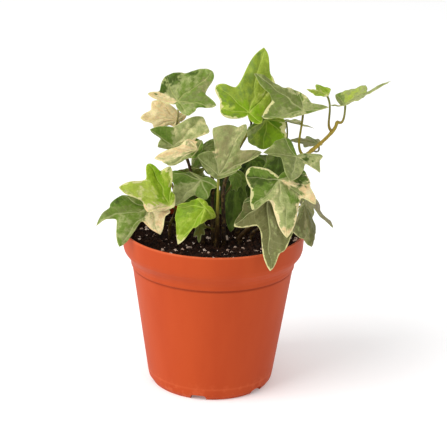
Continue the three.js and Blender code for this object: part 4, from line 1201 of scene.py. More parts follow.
def across(point, turn):
    """Unit vector across a radius: counter-clockwise for turn 1, clockwise for -1."""
    return turn * unit(np.array([-point[1], point[0]]))


def lobe_side(tip, gap, turn, blunt):
    """Control points of a lobe's side, from its tip to the bottom of a gap."""
    chord = gap - tip
    size = np.linalg.norm(chord)
    outward = turn * np.array([chord[1], -chord[0]]) / size
    beside_tip = (tip + TIP_REACH * (1 - blunt) * chord + FLANK_SWELL * (1 - blunt) * size * outward
                  + TIP_REACH * blunt * size * across(tip, turn))
    beside_gap = gap + GAP_REACH * size * across(gap, -turn) + GAP_SWELL * size * outward
    return [tip, beside_tip, beside_gap, gap]


def ear(tip, notch, turn, half_turn, blunt, fullness):
    """Control points of the round ear between the last lobe and the notch."""
    size = fullness * np.linalg.norm(tip - notch)
    reach = EAR_REACH * min(1, half_turn) * (EAR_SHARPEST + (1 - EAR_SHARPEST) * blunt)
    beside_lobe = tip + reach * size * across(tip, turn)
    lean = math.atan2(notch[1], notch[0]) - turn * min(EAR_LEAN, half_turn / 2)
    return [tip, beside_lobe, notch + at_angle(EAR_NOTCH_REACH * size, lean), notch]


def bezier(points, t):
    """Points of a cubic curve at the shares t."""
    a, b, c, d = points
    t = np.asarray(t)[:, None]
    return (1 - t) ** 3 * a + 3 * (1 - t) ** 2 * t * b + 3 * (1 - t) * t ** 2 * c + t ** 3 * d


def margin(lobes, leaf):
    """Points of the margin, counter-clockwise, and the numbers of the points on the tips."""
    sinus, blunt, ears = leaf["sinus"], leaf["blunt"], leaf.get("ears", (1, 1))
    tips = [at_angle(length, angle) for angle, length, _ in lobes]
    near_tip = np.linspace(0, 1, CURVE_POINTS, endpoint=False) ** TIP_CROWDING
    to_gap = np.append(near_tip[1:], 1)
    sides = []
    for i in range(4):
        (a, la, _), (b, lb, _) = lobes[i], lobes[i + 1]
        share = leaf["gap_at"][i] if "gap_at" in leaf else la / (la + lb)
        angle = a + share * (b - a)
        chord = la * lb * math.sin(b - a) / (la * math.sin(angle - a) + lb * math.sin(b - angle))
        gap = at_angle(sinus[i] * chord, angle)
        sides.append(bezier(lobe_side(tips[i], gap, 1, blunt[i]), near_tip))
        sides.append(bezier(lobe_side(tips[i + 1], gap, -1, blunt[i + 1]), to_gap)[::-1])
    half_turn = (lobes[0][0] + 2 * math.pi - lobes[4][0]) / 2
    notch = at_angle(NOTCH_DEPTH, lobes[4][0] + half_turn)
    sides.append(bezier(ear(tips[4], notch, 1, half_turn, blunt[4], ears[1]), near_tip))
    sides.append(bezier(ear(tips[0], notch, -1, half_turn, blunt[0], ears[0]), to_gap)[::-1])
    tip_rows = [2 * CURVE_POINTS * i for i in range(5)]
    return np.vstack(sides), tip_rows


def smooth_step(value, low, high):
    """0 at low and 1 at high, with a smooth way between them."""
    t = np.clip((value - low) / (high - low), 0, 1)
    return t * t * (3 - 2 * t)


def lifted(lobes, angle, radius):
    """Height over the blade's plane: each lobe rises or droops towards its tip."""
    first, last = lobes[0], lobes[-1]
    ring = [(last[0] - 2 * math.pi, *last[1:])] + lobes + [(first[0] + 2 * math.pi, *first[1:])]
    bounds = np.array([lobe[0] for lobe in ring])
    i = np.clip(np.searchsorted(bounds, angle, side="right") - 1, 0, len(ring) - 2)
    share = smooth_step(angle, bounds[i], bounds[i + 1])
    length = np.array([lobe[1] for lobe in ring])
    lift = np.array([lobe[2] for lobe in ring])
    low = lift[i] * (radius / length[i]) ** LOBE_CURVE
    high = lift[i + 1] * (radius / length[i + 1]) ** LOBE_CURVE
    return (1 - share) * low + share * high


print("margin helpers ready")

# %% [markdown]
# ## Leaves: the paints
# Variegated ivy mixes chlorophyll-rich green, grey-green where the top layer is white but the
# layer under it is green, and cream where neither is green. A patch tends to stop at a vein.
# So a leaf's colouring is written as one word for each half lobe, ten words from the notch
# round to the notch again. Each word stands for a skin: its main colour, the colour of its
# marbling and how much of it there is, and the colour and width in mm of its pale margin.

# %% Paints and skins
PAINTS = {
    "deep": linear(27, 40, 8), "dark": linear(61, 77, 21), "green": linear(86, 111, 31),
    "mid": linear(104, 125, 47), "grey": linear(112, 120, 65), "silver": linear(149, 155, 97),
    "brown": linear(142, 136, 90), "purple": linear(150, 140, 114), "olive": linear(117, 111, 42),
    "lime_deep": linear(86, 124, 11), "lime": linear(127, 153, 26),
    "lime_pale": linear(163, 178, 68),
    "vivid": linear(116, 148, 15), "bright": linear(100, 123, 21), "crown": linear(131, 148, 45),
    "ash": linear(104, 102, 60), "umber": linear(84, 80, 42),
    "cream": linear(219, 202, 154), "peach": linear(216, 185, 136), "pale": linear(208, 202, 144),
}
SKINS = {
    "fresh": ("lime", "lime_pale", 0.30, "lime_pale", 0.35),
    "fresh_pale": ("lime_pale", "pale", 0.25, "pale", 1.0),
    "green": ("green", "mid", 0.45, "silver", 0.15),
    "green_edged": ("green", "mid", 0.45, "pale", 1.1),
    "marbled": ("mid", "silver", 0.42, "pale", 0.12),
    "grey": ("grey", "silver", 0.35, "silver", 0.2),
    "grey_edged": ("grey", "mid", 0.35, "pale", 0.8),
    "grey_green": ("grey", "mid", 0.5, "silver", 0.2),
    "silver": ("silver", "grey", 0.35, "pale", 0.15),
    "silver_pale": ("silver", "pale", 0.4, "pale", 0.2),
    "silver_cream": ("silver", "cream", 0.5, "cream", 1.0),
    "silver_edged": ("silver", "pale", 0.35, "cream", 1.1),
    "brown": ("brown", "grey", 0.4, "silver", 0.2),
    "brown_pale": ("brown", "silver", 0.45, "silver", 0.2),
    "purple": ("purple", "brown", 0.4, "silver", 0.2),
    "dark": ("dark", "green", 0.4, "mid", 0.25),
    "dark_edged": ("dark", "grey", 0.4, "pale", 0.6),
    "deep": ("deep", "dark", 0.5, "dark", 0.2),
    "cream": ("cream", "peach", 0.5, "pale", 0.5),
    "streaked": ("cream", "olive", 0.34, "peach", 1.0),
    "peach": ("peach", "cream", 0.5, "cream", 0.6),
    "vivid": ("vivid", "lime", 0.35, "lime_pale", 0.35),
    "spring": ("vivid", "bright", 0.5, "lime_pale", 0.25),
    "cream_low": ("grey", "silver", 0.5, "cream", 1.8),
    "silver_low": ("silver", "grey", 0.5, "cream", 1.2),
    "lime_wide": ("lime", "lime_pale", 0.5, "pale", 1.6),
    "lime_broad": ("bright", "lime_deep", 0.45, "pale", 1.9),
    "deep_lime": ("bright", "lime_deep", 0.5, "lime_pale", 0.3),
    "silver_lime": ("silver", "lime_pale", 0.5, "silver", 0.4),
    "mid": ("mid", "green", 0.4, "silver", 0.2),
    "cream_grain": ("cream", "silver", 0.35, "peach", 0.7),
    "olive": ("olive", "mid", 0.4, "silver", 0.35),
    "ash": ("ash", "umber", 0.25, "pale", 0.4),
    "ash_pale": ("ash", "silver", 0.4, "pale", 0.4),
    "umber": ("umber", "dark", 0.4, "brown", 0.25),
    "crown": ("crown", "lime_pale", 0.3, "lime_pale", 0.3),
    "crown_low": ("crown", "mid", 0.4, "lime_pale", 0.3),
    "mottled": ("lime", "mid", 0.5, "pale", 0.8),
    "pale_low": ("grey", "mid", 0.4, "pale", 1.1),
}
print(len(SKINS), "skins from", len(PAINTS), "paints")

# %% [markdown]
# ## Leaves: which skin where
# Ten words for each leaf, from the notch over the first lobe round to the notch again, two
# halves to a lobe. One word stands for all ten halves, and five for five whole lobes. A dab
# puts a skin on a round patch: the ray that it lies on (0 is the first tip, 1 the first gap,
# 8 the last tip), how far out it is, and its radius in mm.

# %% Colouring of each leaf
COLOURING = {
    "leaf_upper_left": "marbled marbled silver grey_green grey_green marbled "
                       "silver silver cream cream",
    "leaf_cream": "streaked streaked cream peach peach peach peach streaked streaked streaked",
    "leaf_left_tall": "cream_low silver_low silver_pale silver_pale silver_pale silver_pale "
                      "mid grey_green silver silver",
    "leaf_left_streaked": "green grey streaked silver_cream cream silver_cream "
                          "silver_pale silver marbled green",
    "leaf_centre_small": "mid mid silver silver silver green mid silver marbled marbled",
    "leaf_centre": "grey grey_green silver brown silver silver_pale brown_pale brown_pale "
                   "grey grey",
    "leaf_left_bright": "fresh_pale fresh_pale lime_wide lime_wide vivid fresh fresh_pale "
                        "fresh_pale cream_grain cream",
    "leaf_left_low": "grey_green mid grey_green marbled marbled grey cream_grain cream cream cream",
    "leaf_middle": "grey grey dark green silver silver mid mid mid mid",
    "leaf_lime": "fresh spring spring spring fresh vivid vivid fresh fresh fresh",
    "leaf_low_small": "olive",
    "leaf_centre_dark": "deep deep deep green dark green dark mid green green",
    "leaf_front_right": "green_edged dark_edged green_edged silver silver_edged silver_low "
                        "cream cream silver_low green",
    "leaf_front_low": "umber umber umber ash ash ash_pale ash ash_pale ash ash",
    "leaf_right_low": "ash_pale ash_pale brown ash_pale brown ash ash ash brown brown",
    "leaf_right_narrow": "purple",
    "leaf_right": "mid grey_green grey grey grey silver silver_pale silver_pale silver_pale silver",
    "leaf_crown": "vivid vivid crown fresh_pale crown crown_low crown_low mottled "
                  "lime_wide mottled",
    "leaf_upper_right": "marbled silver silver_pale silver_pale grey grey_green pale_low marbled "
                        "marbled silver_pale",
    "leaf_under_crown": "mid silver marbled crown_low spring spring vivid lime_broad lime_broad "
                        "crown_low",
    "leaf_flat_upper": "silver_pale",
    "leaf_flat_lower": "brown grey brown brown brown",
    "leaf_tip_small": "fresh fresh fresh fresh fresh_pale crown crown fresh fresh fresh_pale",
    "leaf_tip_right": "silver silver_pale silver_pale silver silver silver silver_lime silver_lime "
                      "marbled grey",
    "leaf_inner_low": "green",
    "leaf_inner_right": "deep deep deep dark dark dark dark dark green dark",
    "leaf_inner_left": "dark",
    "leaf_right_inner": "grey grey mid dark dark dark dark dark dark dark",
    "leaf_back_left": "green_edged marbled marbled green cream",
    "leaf_back_left_low": "grey_edged grey silver grey grey_edged",
    "leaf_back_left_inner": "lime_wide",
    "leaf_back_middle": "grey_edged marbled grey silver grey_edged",
    "leaf_back_middle_low": "green",
    "leaf_back_right": "cream green_edged marbled green_edged green",
    "leaf_back_right_low": "silver_cream grey_edged grey grey_edged silver",
    "leaf_back_right_inner": "fresh",
}
DABS = {
    "leaf_upper_left": [(3.4, 0.95, 4.0, "brown"), (5.6, 0.85, 4.0, "dark"),
                        (6.6, 0.9, 3.5, "dark"), (4.6, 0.9, 2.5, "dark"),
                        (1.5, 0.9, 3.0, "green")],
    "leaf_left_streaked": [(8.2, 0.6, 2.5, "dark")],
    "leaf_centre": [(7.0, 1.0, 1.6, "cream"), (7.8, 0.35, 3.5, "silver")],
    "leaf_left_bright": [(3.0, 0.3, 4.0, "vivid"), (5.0, 0.3, 3.5, "vivid"),
                         (2.0, 0.4, 3.0, "vivid")],
    "leaf_left_low": [(0.4, 0.96, 3.2, "dark")],
    "leaf_lime": [(4.0, 0.95, 5.0, "fresh_pale"), (6.4, 0.9, 2.5, "fresh")],
    "leaf_front_right": [(4.8, 0.62, 3.4, "green"), (4.7, 0.78, 2.4, "green"),
                         (4.0, 0.97, 4.0, "cream"), (6.0, 0.45, 3.5, "grey"),
                         (7.5, 0.7, 3.4, "dark")],
    "leaf_crown": [(1.5, 0.3, 4.0, "vivid"), (6.0, 0.15, 4.5, "vivid")],
    "leaf_right": [(7.0, 0.45, 2.0, "dark")],
    "leaf_upper_right": [(2.5, 0.5, 4.0, "grey_green"), (6.5, 0.6, 4.0, "silver")],
    "leaf_under_crown": [(3.5, 0.5, 2.5, "deep_lime")],
}
HALVES = 10


def halves_of(words):
    """Ten skins from one, five or ten words."""
    words = words.split()
    return [SKINS[words[k * len(words) // HALVES]] for k in range(HALVES)]


print("leaves coloured:", len(COLOURING))

# %% [markdown]
# ## Leaves: the finish
# All leaves share one recipe with different settings. From the outside in: a jagged pale
# margin, fine pale main veins with weaker side veins that branch off them, marbled patches
# from noise, a small-scale mottle, and a paler dull underside. The upper side is waxy, so it
# is a little glossy, and light passes a short way through the blade.

# %% Leaf finishes
SIDE_VEIN_STEP = 4.2  # mm between two side veins
SIDE_VEIN_SLOPE = 0.8
SIDE_VEIN_SHARE = 0.22  # strength of a side vein beside a main one
VEIN_WIDTH, VEIN_NARROWING = 0.36, -0.22  # mm at the petiole, and the change out to the rim
BARE_LEVEL, COVER_FALL = 0.71, -0.42  # noise above this level is marbled; cover lowers it
PATCH_EDGE = 0.1  # how soft the border of a patch is
MOTTLE = linear(50, 70, 16)
MARGIN_SHARE = 0.85
UNDER_SHARE = 0.55
UNDER_ROUGHER = 0.25
ROUGH_RANGE = 0.12
VEIN_DEPTH = 0.8  # beside the quilting of the surface


def leaf_finish(name, vein_tint, vein_share, under_tint, streaky, gloss):
    """A leaf material that reads its colours and distances from the blade."""
    material, tree, shader, place = blank_material(name)
    ground = attribute(tree, "ground", "Color")
    marbling = attribute(tree, "marbling", "Color")
    edge_tint = attribute(tree, "edge_tint", "Color")
    rim = attribute(tree, "rim_mm")
    vein = attribute(tree, "vein_mm")
    along = attribute(tree, "along_mm")
    out = attribute(tree, "share_out")
    upper = attribute(tree, "upper")

    patches = noise(tree, place, 230.0, 4.0, 0.6)
    rays = noise(tree, attribute(tree, "rays", "Vector"), 2.6, 3.0, 0.6)
    pattern = calc(tree, "ADD", calc(tree, "MULTIPLY", patches, 1 - streaky),
                   calc(tree, "MULTIPLY", rays, streaky))
    cover = attribute(tree, "cover")
    level = calc(tree, "MULTIPLY_ADD", cover, COVER_FALL, BARE_LEVEL)
    start = calc(tree, "SUBTRACT", level, PATCH_EDGE)
    end = calc(tree, "ADD", level, PATCH_EDGE)
    colour = mix(tree, ramp(tree, pattern, start, end), ground, marbling)

    mottle = noise(tree, place, 900.0, 3.0, 0.6)
    colour = mix(tree, ramp(tree, mottle, 0.3, 0.7, 0.0, 0.22), colour, MOTTLE)

    ragged = noise(tree, place, 300.0, 2.0, 0.55)
    uneven = ramp(tree, ragged, 0.33, 0.67, 0.3, 1.7)
    width = calc(tree, "MULTIPLY", attribute(tree, "edge_mm"), uneven)
    margin_mask = ramp(tree, calc(tree, "SUBTRACT", rim, width), 0.3, -0.25)
    colour = mix(tree, calc(tree, "MULTIPLY", margin_mask, MARGIN_SHARE), colour, edge_tint)

    main_width = calc(tree, "MULTIPLY_ADD", out, VEIN_NARROWING, VEIN_WIDTH)
    main_line = ramp(tree, calc(tree, "SUBTRACT", vein, main_width), 0.22, -0.1)
    branch = calc(tree, "SUBTRACT", along, calc(tree, "MULTIPLY", vein, SIDE_VEIN_SLOPE))
    branch = calc(tree, "PINGPONG", branch, SIDE_VEIN_STEP / 2)
    side_line = ramp(tree, branch, 0.34, 0.05)
    inside = ramp(tree, rim, 0.4, 2.0)
    side_line = calc(tree, "MULTIPLY", side_line, inside)
    veins = calc(tree, "MAXIMUM", main_line, calc(tree, "MULTIPLY", side_line, SIDE_VEIN_SHARE))
    colour = mix(tree, calc(tree, "MULTIPLY", veins, vein_share), colour, vein_tint)

    under = calc(tree, "SUBTRACT", 1.0, upper)
    colour = mix(tree, calc(tree, "MULTIPLY", under, UNDER_SHARE), colour, under_tint)
    rough = ramp(tree, mottle, 0.3, 0.7, gloss, gloss + ROUGH_RANGE)
    rough = calc(tree, "ADD", rough, calc(tree, "MULTIPLY", under, UNDER_ROUGHER))
    set_inputs(tree, shader, {
        "Base Color": colour, "Roughness": rough,
        "Specular IOR Level": SATIN, "Subsurface Weight": 0.12,
        "Subsurface Radius": (0.6, 1.0, 0.25), "Subsurface Scale": 0.001,
    })

    cells = add_node(tree, "ShaderNodeTexVoronoi", {"Vector": place, "Scale": 1100.0},
                     feature="DISTANCE_TO_EDGE").outputs["Distance"]
    quilt = ramp(tree, cells, 0.0, 0.25, 0.0, 0.25)
    height = calc(tree, "SUBTRACT", quilt, calc(tree, "MULTIPLY", veins, VEIN_DEPTH))
    raise_by(tree, shader, height, 0.00022, 0.6)
    return material


LEAF_FINISHES = {
    "leaf_green": leaf_finish(
        "green leaf", linear(172, 176, 108), 0.4, linear(140, 148, 90), 0.35, 0.42),
    "leaf_lime": leaf_finish(
        "fresh leaf", linear(174, 188, 84), 0.4, linear(150, 166, 76), 0.45, 0.40),
    "leaf_grey_green": leaf_finish(
        "grey-green leaf", linear(172, 174, 120), 0.5, linear(136, 140, 98), 0.25, 0.46),
    "leaf_dark": leaf_finish(
        "dark leaf", linear(92, 106, 50), 0.35, linear(84, 90, 48), 0.3, 0.45),
    "leaf_cream": leaf_finish(
        "cream leaf", linear(214, 198, 142), 0.35, linear(200, 184, 136), 0.75, 0.48),
}
print("leaf finishes:", ", ".join(LEAF_FINISHES))

# %% [markdown]
# ## Leaves: the blade
# The blade is a polar grid of points: rays from the petiole to the margin, crossed by rings
# that crowd towards the rim. Two skins share the last ring, so the blade is closed and thins
# out to a fine edge. The relief is what makes it a leaf: the surface swells between the main
# veins, sinks along them, and waves a little at the rim. The same distances that shape it are
# stored for the finish.

# %% Build a blade
BLADE_RINGS = 20
RING_CROWDING = 1.3
RIM_ROUND = 0.22  # mm from the last ring but one to the margin
HALF_THICK = 0.2  # mm, in the middle
THINNING = 0.6  # share of its thickness that a blade loses out to the margin
SWELL = 0.95  # mm between the veins
SWELL_AT_VEIN, SWELL_AT_RIM = 1.7, 2.2  # mm over which the swell rises
FULL_SIZE = 26  # mm from petiole to tip, from which on a leaf has the full relief
BLADE_SCALE = 0.997  # keeps each blade just inside its CAD solid
# Size in mm, length in mm and number of the waves in the rim, in the surface and in the line
# of the main veins.
WAVE, WAVE_LENGTH, WAVE_COUNT = 0.6, 13.0, 12
BUCKLE, BUCKLE_LENGTH, BUCKLE_COUNT = 0.16, 4.5, 16
VEIN_BEND, VEIN_BEND_LENGTH, VEIN_BEND_COUNT = 0.8, 14.0, 10
STRAIGHT_START = 8  # mm from the petiole up to where a vein wanders in full
RAY_TURN, RAY_STRETCH = 2, 0.05  # make the noise of a finish run out in streaks
NOISE_SHIFT = 20  # each leaf reads its own part of that noise
HOOKS = {"leaf_left_low": (1, 0.78, 4.0)}  # lobe, share of its length where it bends, drop in mm
PAINT_JITTER = 0.9  # mm that a border between two skins wanders
PAINT_BLEND = 0.55  # mm on each side of a border over which one skin turns into the next
JITTER_LENGTH, JITTER_FINE_LENGTH = 4.0, 1.6  # mm
JITTER_FINE = 0.5  # of the coarse wandering
JITTER_START = 6  # mm from the petiole up to where a border wanders in full
DAB_JITTER, DAB_BLEND = 1.6, 0.8  # for a dab: times the jitter, and mm
FAR_OFF = 50.0  # mm, the distance to rim and veins that a petiole is given


def distance_to_line(points, line):
    """Shortest distance from each point to a closed line in the plane."""
    ends = np.roll(line, -1, axis=0)
    stretch = ends - line
    size = np.maximum((stretch ** 2).sum(axis=1), 1e-12)
    best = np.full(len(points), 1e9)
    for start, way, square in zip(line, stretch, size):
        share = np.clip((points - start) @ way / square, 0, 1)
        gap = points - start - share[:, None] * way
        best = np.minimum(best, np.hypot(gap[:, 0], gap[:, 1]))
    return best


def skin_table(skins):
    """The skins' colours and numbers as arrays, one row for each skin."""
    ground, marbling, edge = (np.array([PAINTS[skin[i]] for skin in skins]) for i in (0, 1, 3))
    cover, width = (np.array([skin[i] for skin in skins]) for i in (2, 4))
    return {
        "ground": ground, "marbling": marbling, "edge_tint": edge, "cover": cover, "edge_mm": width,
    }


def paint_blade(name, flat, lobes, rim, tip_rows, rng):
    """Ground, marbling and margin values at each flat point of a blade."""
    rays = [math.atan2(rim[k + j][1], rim[k + j][0]) if k + j < len(rim) else 0.0
            for k in tip_rows for j in (0, CURVE_POINTS)][:-1]
    rays = np.unwrap(rays)
    angle = np.arctan2(flat[:, 1], flat[:, 0])
    radius = np.hypot(flat[:, 0], flat[:, 1])
    jitter = PAINT_JITTER * lumps(*flat.T, JITTER_LENGTH, rng)
    jitter += JITTER_FINE * PAINT_JITTER * lumps(*flat.T, JITTER_FINE_LENGTH, rng)
    wander = jitter * np.minimum(1, radius / JITTER_START)
    passed = [np.ones(len(flat))]
    for ray in rays:
        beyond = radius * np.sin(np.clip(angle - ray, -math.pi / 2, math.pi / 2))
        passed.append(smooth_step(beyond + wander, -PAINT_BLEND, PAINT_BLEND))
    passed.append(np.zeros(len(flat)))
    weights = np.array([np.minimum(a, 1 - b) for a, b in zip(passed, passed[1:])])
    weights = np.maximum(weights, 1e-6)  # so that no point is left without a skin
    weights /= weights.sum(axis=0)
    values = {key: weights.T @ rows for key, rows in skin_table(halves_of(COLOURING[name])).items()}
    rim_angle = np.arctan2(rim[:, 1], rim[:, 0])
    for ray, share, size, skin in DABS.get(name, ()):
        low = min(int(ray), len(rays) - 2)
        heading = rays[low] + (ray - low) * (rays[low + 1] - rays[low])
        nearest = np.argmin(np.abs(np.angle(np.exp(1j * (rim_angle - heading)))))
        middle = share * rim[nearest]
        far = np.hypot(flat[:, 0] - middle[0], flat[:, 1] - middle[1])
        here = smooth_step(far + DAB_JITTER * jitter, size + DAB_BLEND, size - DAB_BLEND)
        for key, rows in skin_table([SKINS[skin]]).items():
            blend = here if values[key].ndim == 1 else here[:, None]
            values[key] = (1 - blend) * values[key] + blend * rows[0]
    return values


def blade_surface(name, leaf, rng):
    """Points of both skins, their faces, and what the finish needs at each point."""
    origin, axes, lobes = blade_frame(leaf)
    rim, tip_rows = margin(lobes, leaf)
    rim = rim * BLADE_SCALE
    count = len(rim)
    rim_radius = np.hypot(rim[:, 0], rim[:, 1])
    even = np.linspace(0, 1, BLADE_RINGS)[1:]
    shares = np.repeat((1 - (1 - even) ** RING_CROWDING)[:, None], count, axis=1)
    shares = shares * (1 - RIM_ROUND / rim_radius)
    shares = np.vstack([shares, np.ones(count)])
    flat = np.vstack([[[0, 0]], (shares[:, :, None] * rim[None]).reshape(-1, 2)])
    out = np.append(0, shares.ravel())
    angle = np.arctan2(flat[:, 1], flat[:, 0])
    radius = np.hypot(flat[:, 0], flat[:, 1])
    to_rim = distance_to_line(flat, rim)
    to_rim[-count:] = 0

    vein = np.full(len(flat), 1e9)
    along = np.zeros(len(flat))
    bend = VEIN_BEND * np.minimum(1, radius / STRAIGHT_START)
    bent = flat + np.column_stack([
        bend * lumps(*flat.T, VEIN_BEND_LENGTH, rng, VEIN_BEND_COUNT) for _ in "xy"
    ])
    for lobe_angle, length, _ in lobes:
        heading = at_angle(1.0, lobe_angle)
        way = np.clip(bent @ heading, 0, length)
        away = np.hypot(*(bent - way[:, None] * heading).T)
        along = np.where(away < vein, way, along)
        vein = np.minimum(vein, away)

    size = min(1.0, rim_radius.max() / FULL_SIZE)
    off_vein, off_rim = 1 - np.exp(-vein / SWELL_AT_VEIN), 1 - np.exp(-to_rim / SWELL_AT_RIM)
    height = lifted(lobes, angle, radius)
    height += SWELL * size * off_vein * off_rim
    height += WAVE * size * out ** 3 * lumps(*flat.T, WAVE_LENGTH, rng, WAVE_COUNT)
    height += BUCKLE * size * lumps(*flat.T, BUCKLE_LENGTH, rng, BUCKLE_COUNT)

    values = paint_blade(name, flat, lobes, rim, tip_rows, rng)
    offset = rng.uniform(0, NOISE_SHIFT, 3)
    values.update({
        "rim_mm": to_rim, "vein_mm": vein, "along_mm": along, "share_out": out,
        "rays": offset + np.column_stack([
            RAY_TURN * np.cos(angle), RAY_TURN * np.sin(angle), radius * RAY_STRETCH,
        ]),
    })

    half = HALF_THICK * (1 - THINNING * out ** 2)
    half[-count:] = 0

    sag = np.zeros(len(flat))
    if name in HOOKS:
        lobe, start, drop = HOOKS[name]
        heading = at_angle(1.0, lobes[lobe][0])
        sag = drop * np.clip((flat @ heading / lobes[lobe][1] - start) / (1 - start), 0, 1) ** 2

    def skin(side):
        """Points of the upper (1) or lower (-1) skin in the plant's own axes."""
        raised = height + side * half
        points = origin + flat[:, :1] * axes[0] + flat[:, 1:] * axes[1] + raised[:, None] * axes[2]
        points[:, 2] -= sag
        return points

    inner = len(flat) - count
    points = np.vstack([skin(1), skin(-1)[:inner]])
    values = {key: np.concatenate([rows, rows[:inner]]) for key, rows in values.items()}
    values["upper"] = np.concatenate([np.ones(inner), np.full(count, 0.5), np.zeros(inner)])
    faces = []
    for side in (1, -1):
        start = 0 if side == 1 else len(flat)
        turn = 1 if side == 1 else -1
        faces += [(start, start + 1 + k, start + 1 + (k + 1) % count)[::turn] for k in range(count)]
        for row in range(BLADE_RINGS - 1):
            low = start + 1 + row * count
            high = low + count if row < BLADE_RINGS - 2 else inner
            faces += [face[::-turn] for face in wall_faces(low, high, count)]
    return points, faces, values


# %% [markdown]
# ## Leaves: the petiole
# The petiole leaves its stem square to it, arches over and comes up under the blade. Its
# line goes into the same mesh as the blade, marked as a stalk, and the stalk tree sweeps it
# into a tube. It is thickest at the stem and just under the blade.

# %% Build the leaves
# The next four are shares of the straight distance from the stem to the blade.
PETIOLE_LEAVE = 0.25
PETIOLE_BEHIND = 0.15
PETIOLE_UNDER = 0.15
PETIOLE_DROP = 0.2
PETIOLE_STEPS = 24
PETIOLE_SIDES = 10
STEM_TO_PETIOLE = 1.5  # mm from a stem's middle line to where the CAD petiole starts
TIP_TO_PETIOLE = 0.3  # mm, where it carries on from the stem's tip
PETIOLE_SKINS = {
    "leaf_centre": [linear(88, 80, 24), linear(128, 124, 40), linear(140, 140, 60)],
    "leaf_upper_right": [linear(136, 124, 34), linear(140, 130, 44), linear(96, 92, 40)],
    "leaf_tip_small": [linear(150, 122, 50), linear(116, 112, 52), linear(120, 126, 50)],
    "leaf_tip_right": [linear(154, 130, 54), linear(128, 122, 56), linear(136, 138, 70)],
    "leaf_upper_left": [BROWN, linear(118, 108, 58), linear(164, 156, 100)],
}
PETIOLE_DEFAULT = [BROWN, OLIVE, linear(126, 130, 62)]
PETIOLE_RADII = (0.75, 0.55, 0.5, 0.55)
STOUT = {  # petioles that are thicker than the common ones, by this much
    "leaf_centre": 1.5, "leaf_upper_right": 1.25, "leaf_tip_small": 1.2, "leaf_tip_right": 1.2,
}


def petiole_line(leaf):
    """Line from the stem's middle line to just under the blade."""
    origin, axes, _ = blade_frame(leaf)
    node, stem_ahead = point_at(stem_lines[leaf["stem"]], leaf["at"])
    span = np.linalg.norm(origin - node)
    arrive = origin - PETIOLE_BEHIND * span * axes[0] - PETIOLE_UNDER * span * axes[2]
    arrive[2] -= PETIOLE_DROP * span
    if "via" in leaf:
        arrive = np.array(leaf["via"], dtype=float)
    carries_on = leaf["at"] == 1
    outwards = arrive - node
    outwards = stem_ahead if carries_on else unit(outwards - (outwards @ stem_ahead) * stem_ahead)
    start = node + (TIP_TO_PETIOLE if carries_on else STEM_TO_PETIOLE) * outwards
    leave = start + PETIOLE_LEAVE * span * outwards
    end = origin - HALF_THICK * axes[2]
    line = bezier([start, leave, arrive, end], np.linspace(0, 1, PETIOLE_STEPS))
    return np.vstack([node, line])


def make_leaf(name, leaf, slot, rng):
    """Blade and petiole in one mesh, with all that the finish reads at each point."""
    points, faces, values = blade_surface(name, leaf, rng)
    line = petiole_line(leaf)
    blade_count, line_count = len(points), len(line)
    edges = [(blade_count + k, blade_count + k + 1) for k in range(line_count - 1)]
    made = mesh_object(name + "_blade", np.vstack([points, line]) * MM, faces, edges)
    share = lengths_along(line) / lengths_along(line)[-1]
    colours = colour_row(PETIOLE_SKINS.get(name, PETIOLE_DEFAULT), share)
    radii = np.interp(share, np.linspace(0, 1, len(PETIOLE_RADII)), PETIOLE_RADII)
    radii *= STOUT.get(name, 1)
    on_line = {
        "ground": colours, "marbling": colours, "edge_tint": colours,
        "cover": np.zeros(line_count), "edge_mm": np.zeros(line_count),
        "rim_mm": np.full(line_count, FAR_OFF), "vein_mm": np.full(line_count, FAR_OFF),
        "along_mm": np.zeros(line_count), "share_out": share, "upper": np.ones(line_count),
        "rays": np.zeros((line_count, 3)),
    }
    for key, rows in values.items():
        store(made, key, np.concatenate([rows, on_line[key]]))
    store(made, "stalk", np.append(np.zeros(blade_count), np.ones(line_count)))
    store(made, "thick", np.append(np.zeros(blade_count), radii * MM))
    run_tree(made, stalk_tree, **{"Sides": PETIOLE_SIDES, "Material": LEAF_FINISHES[slot]})
    finish_piece(made, slot, name)
    return made


FIRST_LEAF_SEED = 100
slots = {part["node"]: part["material_slot"] for part in frame["record"]["subparts"]}
leaf_triangles = 0
for number, (name, leaf) in enumerate(LEAVES.items()):
    made = make_leaf(name, leaf, slots[name], np.random.default_rng(FIRST_LEAF_SEED + number))
    leaf_triangles += sum(len(face.vertices) - 2 for face in made.data.polygons)
print(len(LEAVES), "leaves,", leaf_triangles, "triangles,",
      "open edges in the last:", open_edges(made.data))

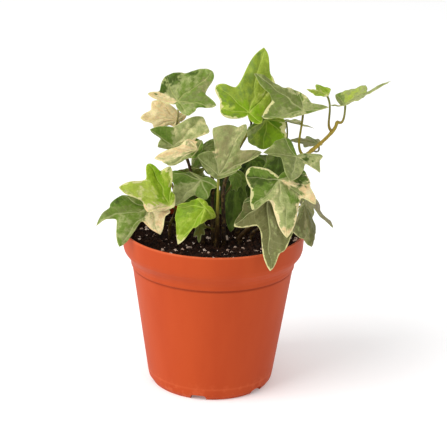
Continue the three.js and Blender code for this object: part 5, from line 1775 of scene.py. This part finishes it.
for name in STEMS:
    make_stem(name, [leaf["at"] for leaf in LEAVES.values() if leaf["stem"] == name])
print(len(STEMS), "stems")

# %% [markdown]
# ## Floor and light
# A near-white floor runs far past the view. The sky gives an even, soft light from all round,
# a large soft panel at the upper left models the forms, and a weaker one at the right keeps
# the shadows open. The light is strong enough for the floor to reach white, as it does in a
# studio picture of a plant.

# %% Stage
FLOOR_HALF = 4.0
FLOOR_GLOW = 0.12  # lifts the soft shadow, as paper lit from below does
SKY = 0.8
WHITE = (1.0, 1.0, 1.0, 1.0)
PAPER_DIM, PAPER_LIGHT = (0.90, 0.90, 0.90, 1.0), (0.93, 0.93, 0.93, 1.0)

corners = [(x * FLOOR_HALF, y * FLOOR_HALF, 0) for x, y in ((-1, -1), (1, -1), (1, 1), (-1, 1))]
floor = mesh_object("studio_floor", corners, [(0, 1, 2, 3)])
paper, tree, shader, place = blank_material("studio paper")
fine = noise(tree, place, 300.0, 2.0)
set_inputs(tree, shader, {
    "Base Color": mix(tree, fine, PAPER_DIM, PAPER_LIGHT), "Roughness": 0.9,
    "Specular IOR Level": 0.2, "Emission Color": WHITE, "Emission Strength": FLOOR_GLOW,
})
floor.data.materials.append(paper)

world = bpy.data.worlds.new("studio sky")
world.use_nodes = True
sky = world.node_tree.nodes["Background"].inputs
sky["Color"].default_value = WHITE
sky["Strength"].default_value = SKY
bpy.context.scene.world = world


def soft_panel(name, where, aim, size, watts):
    """A square area light at one point, turned towards another."""
    data = bpy.data.lights.new(name, "AREA")
    data.size = size
    data.energy = watts
    made = bpy.data.objects.new(name, data)
    made.location = where
    made.rotation_euler = (Vector(aim) - Vector(where)).to_track_quat("-Z", "Y").to_euler()
    bpy.context.scene.collection.objects.link(made)


MIDDLE = (0.0, 0.0, 0.1)
soft_panel("key_panel", (-1.35, -0.75, 1.25), MIDDLE, 1.5, 34.0)
soft_panel("fill_panel", (1.2, -1.0, 0.9), MIDDLE, 1.2, 2.0)
bpy.context.scene.view_settings.view_transform = "Standard"
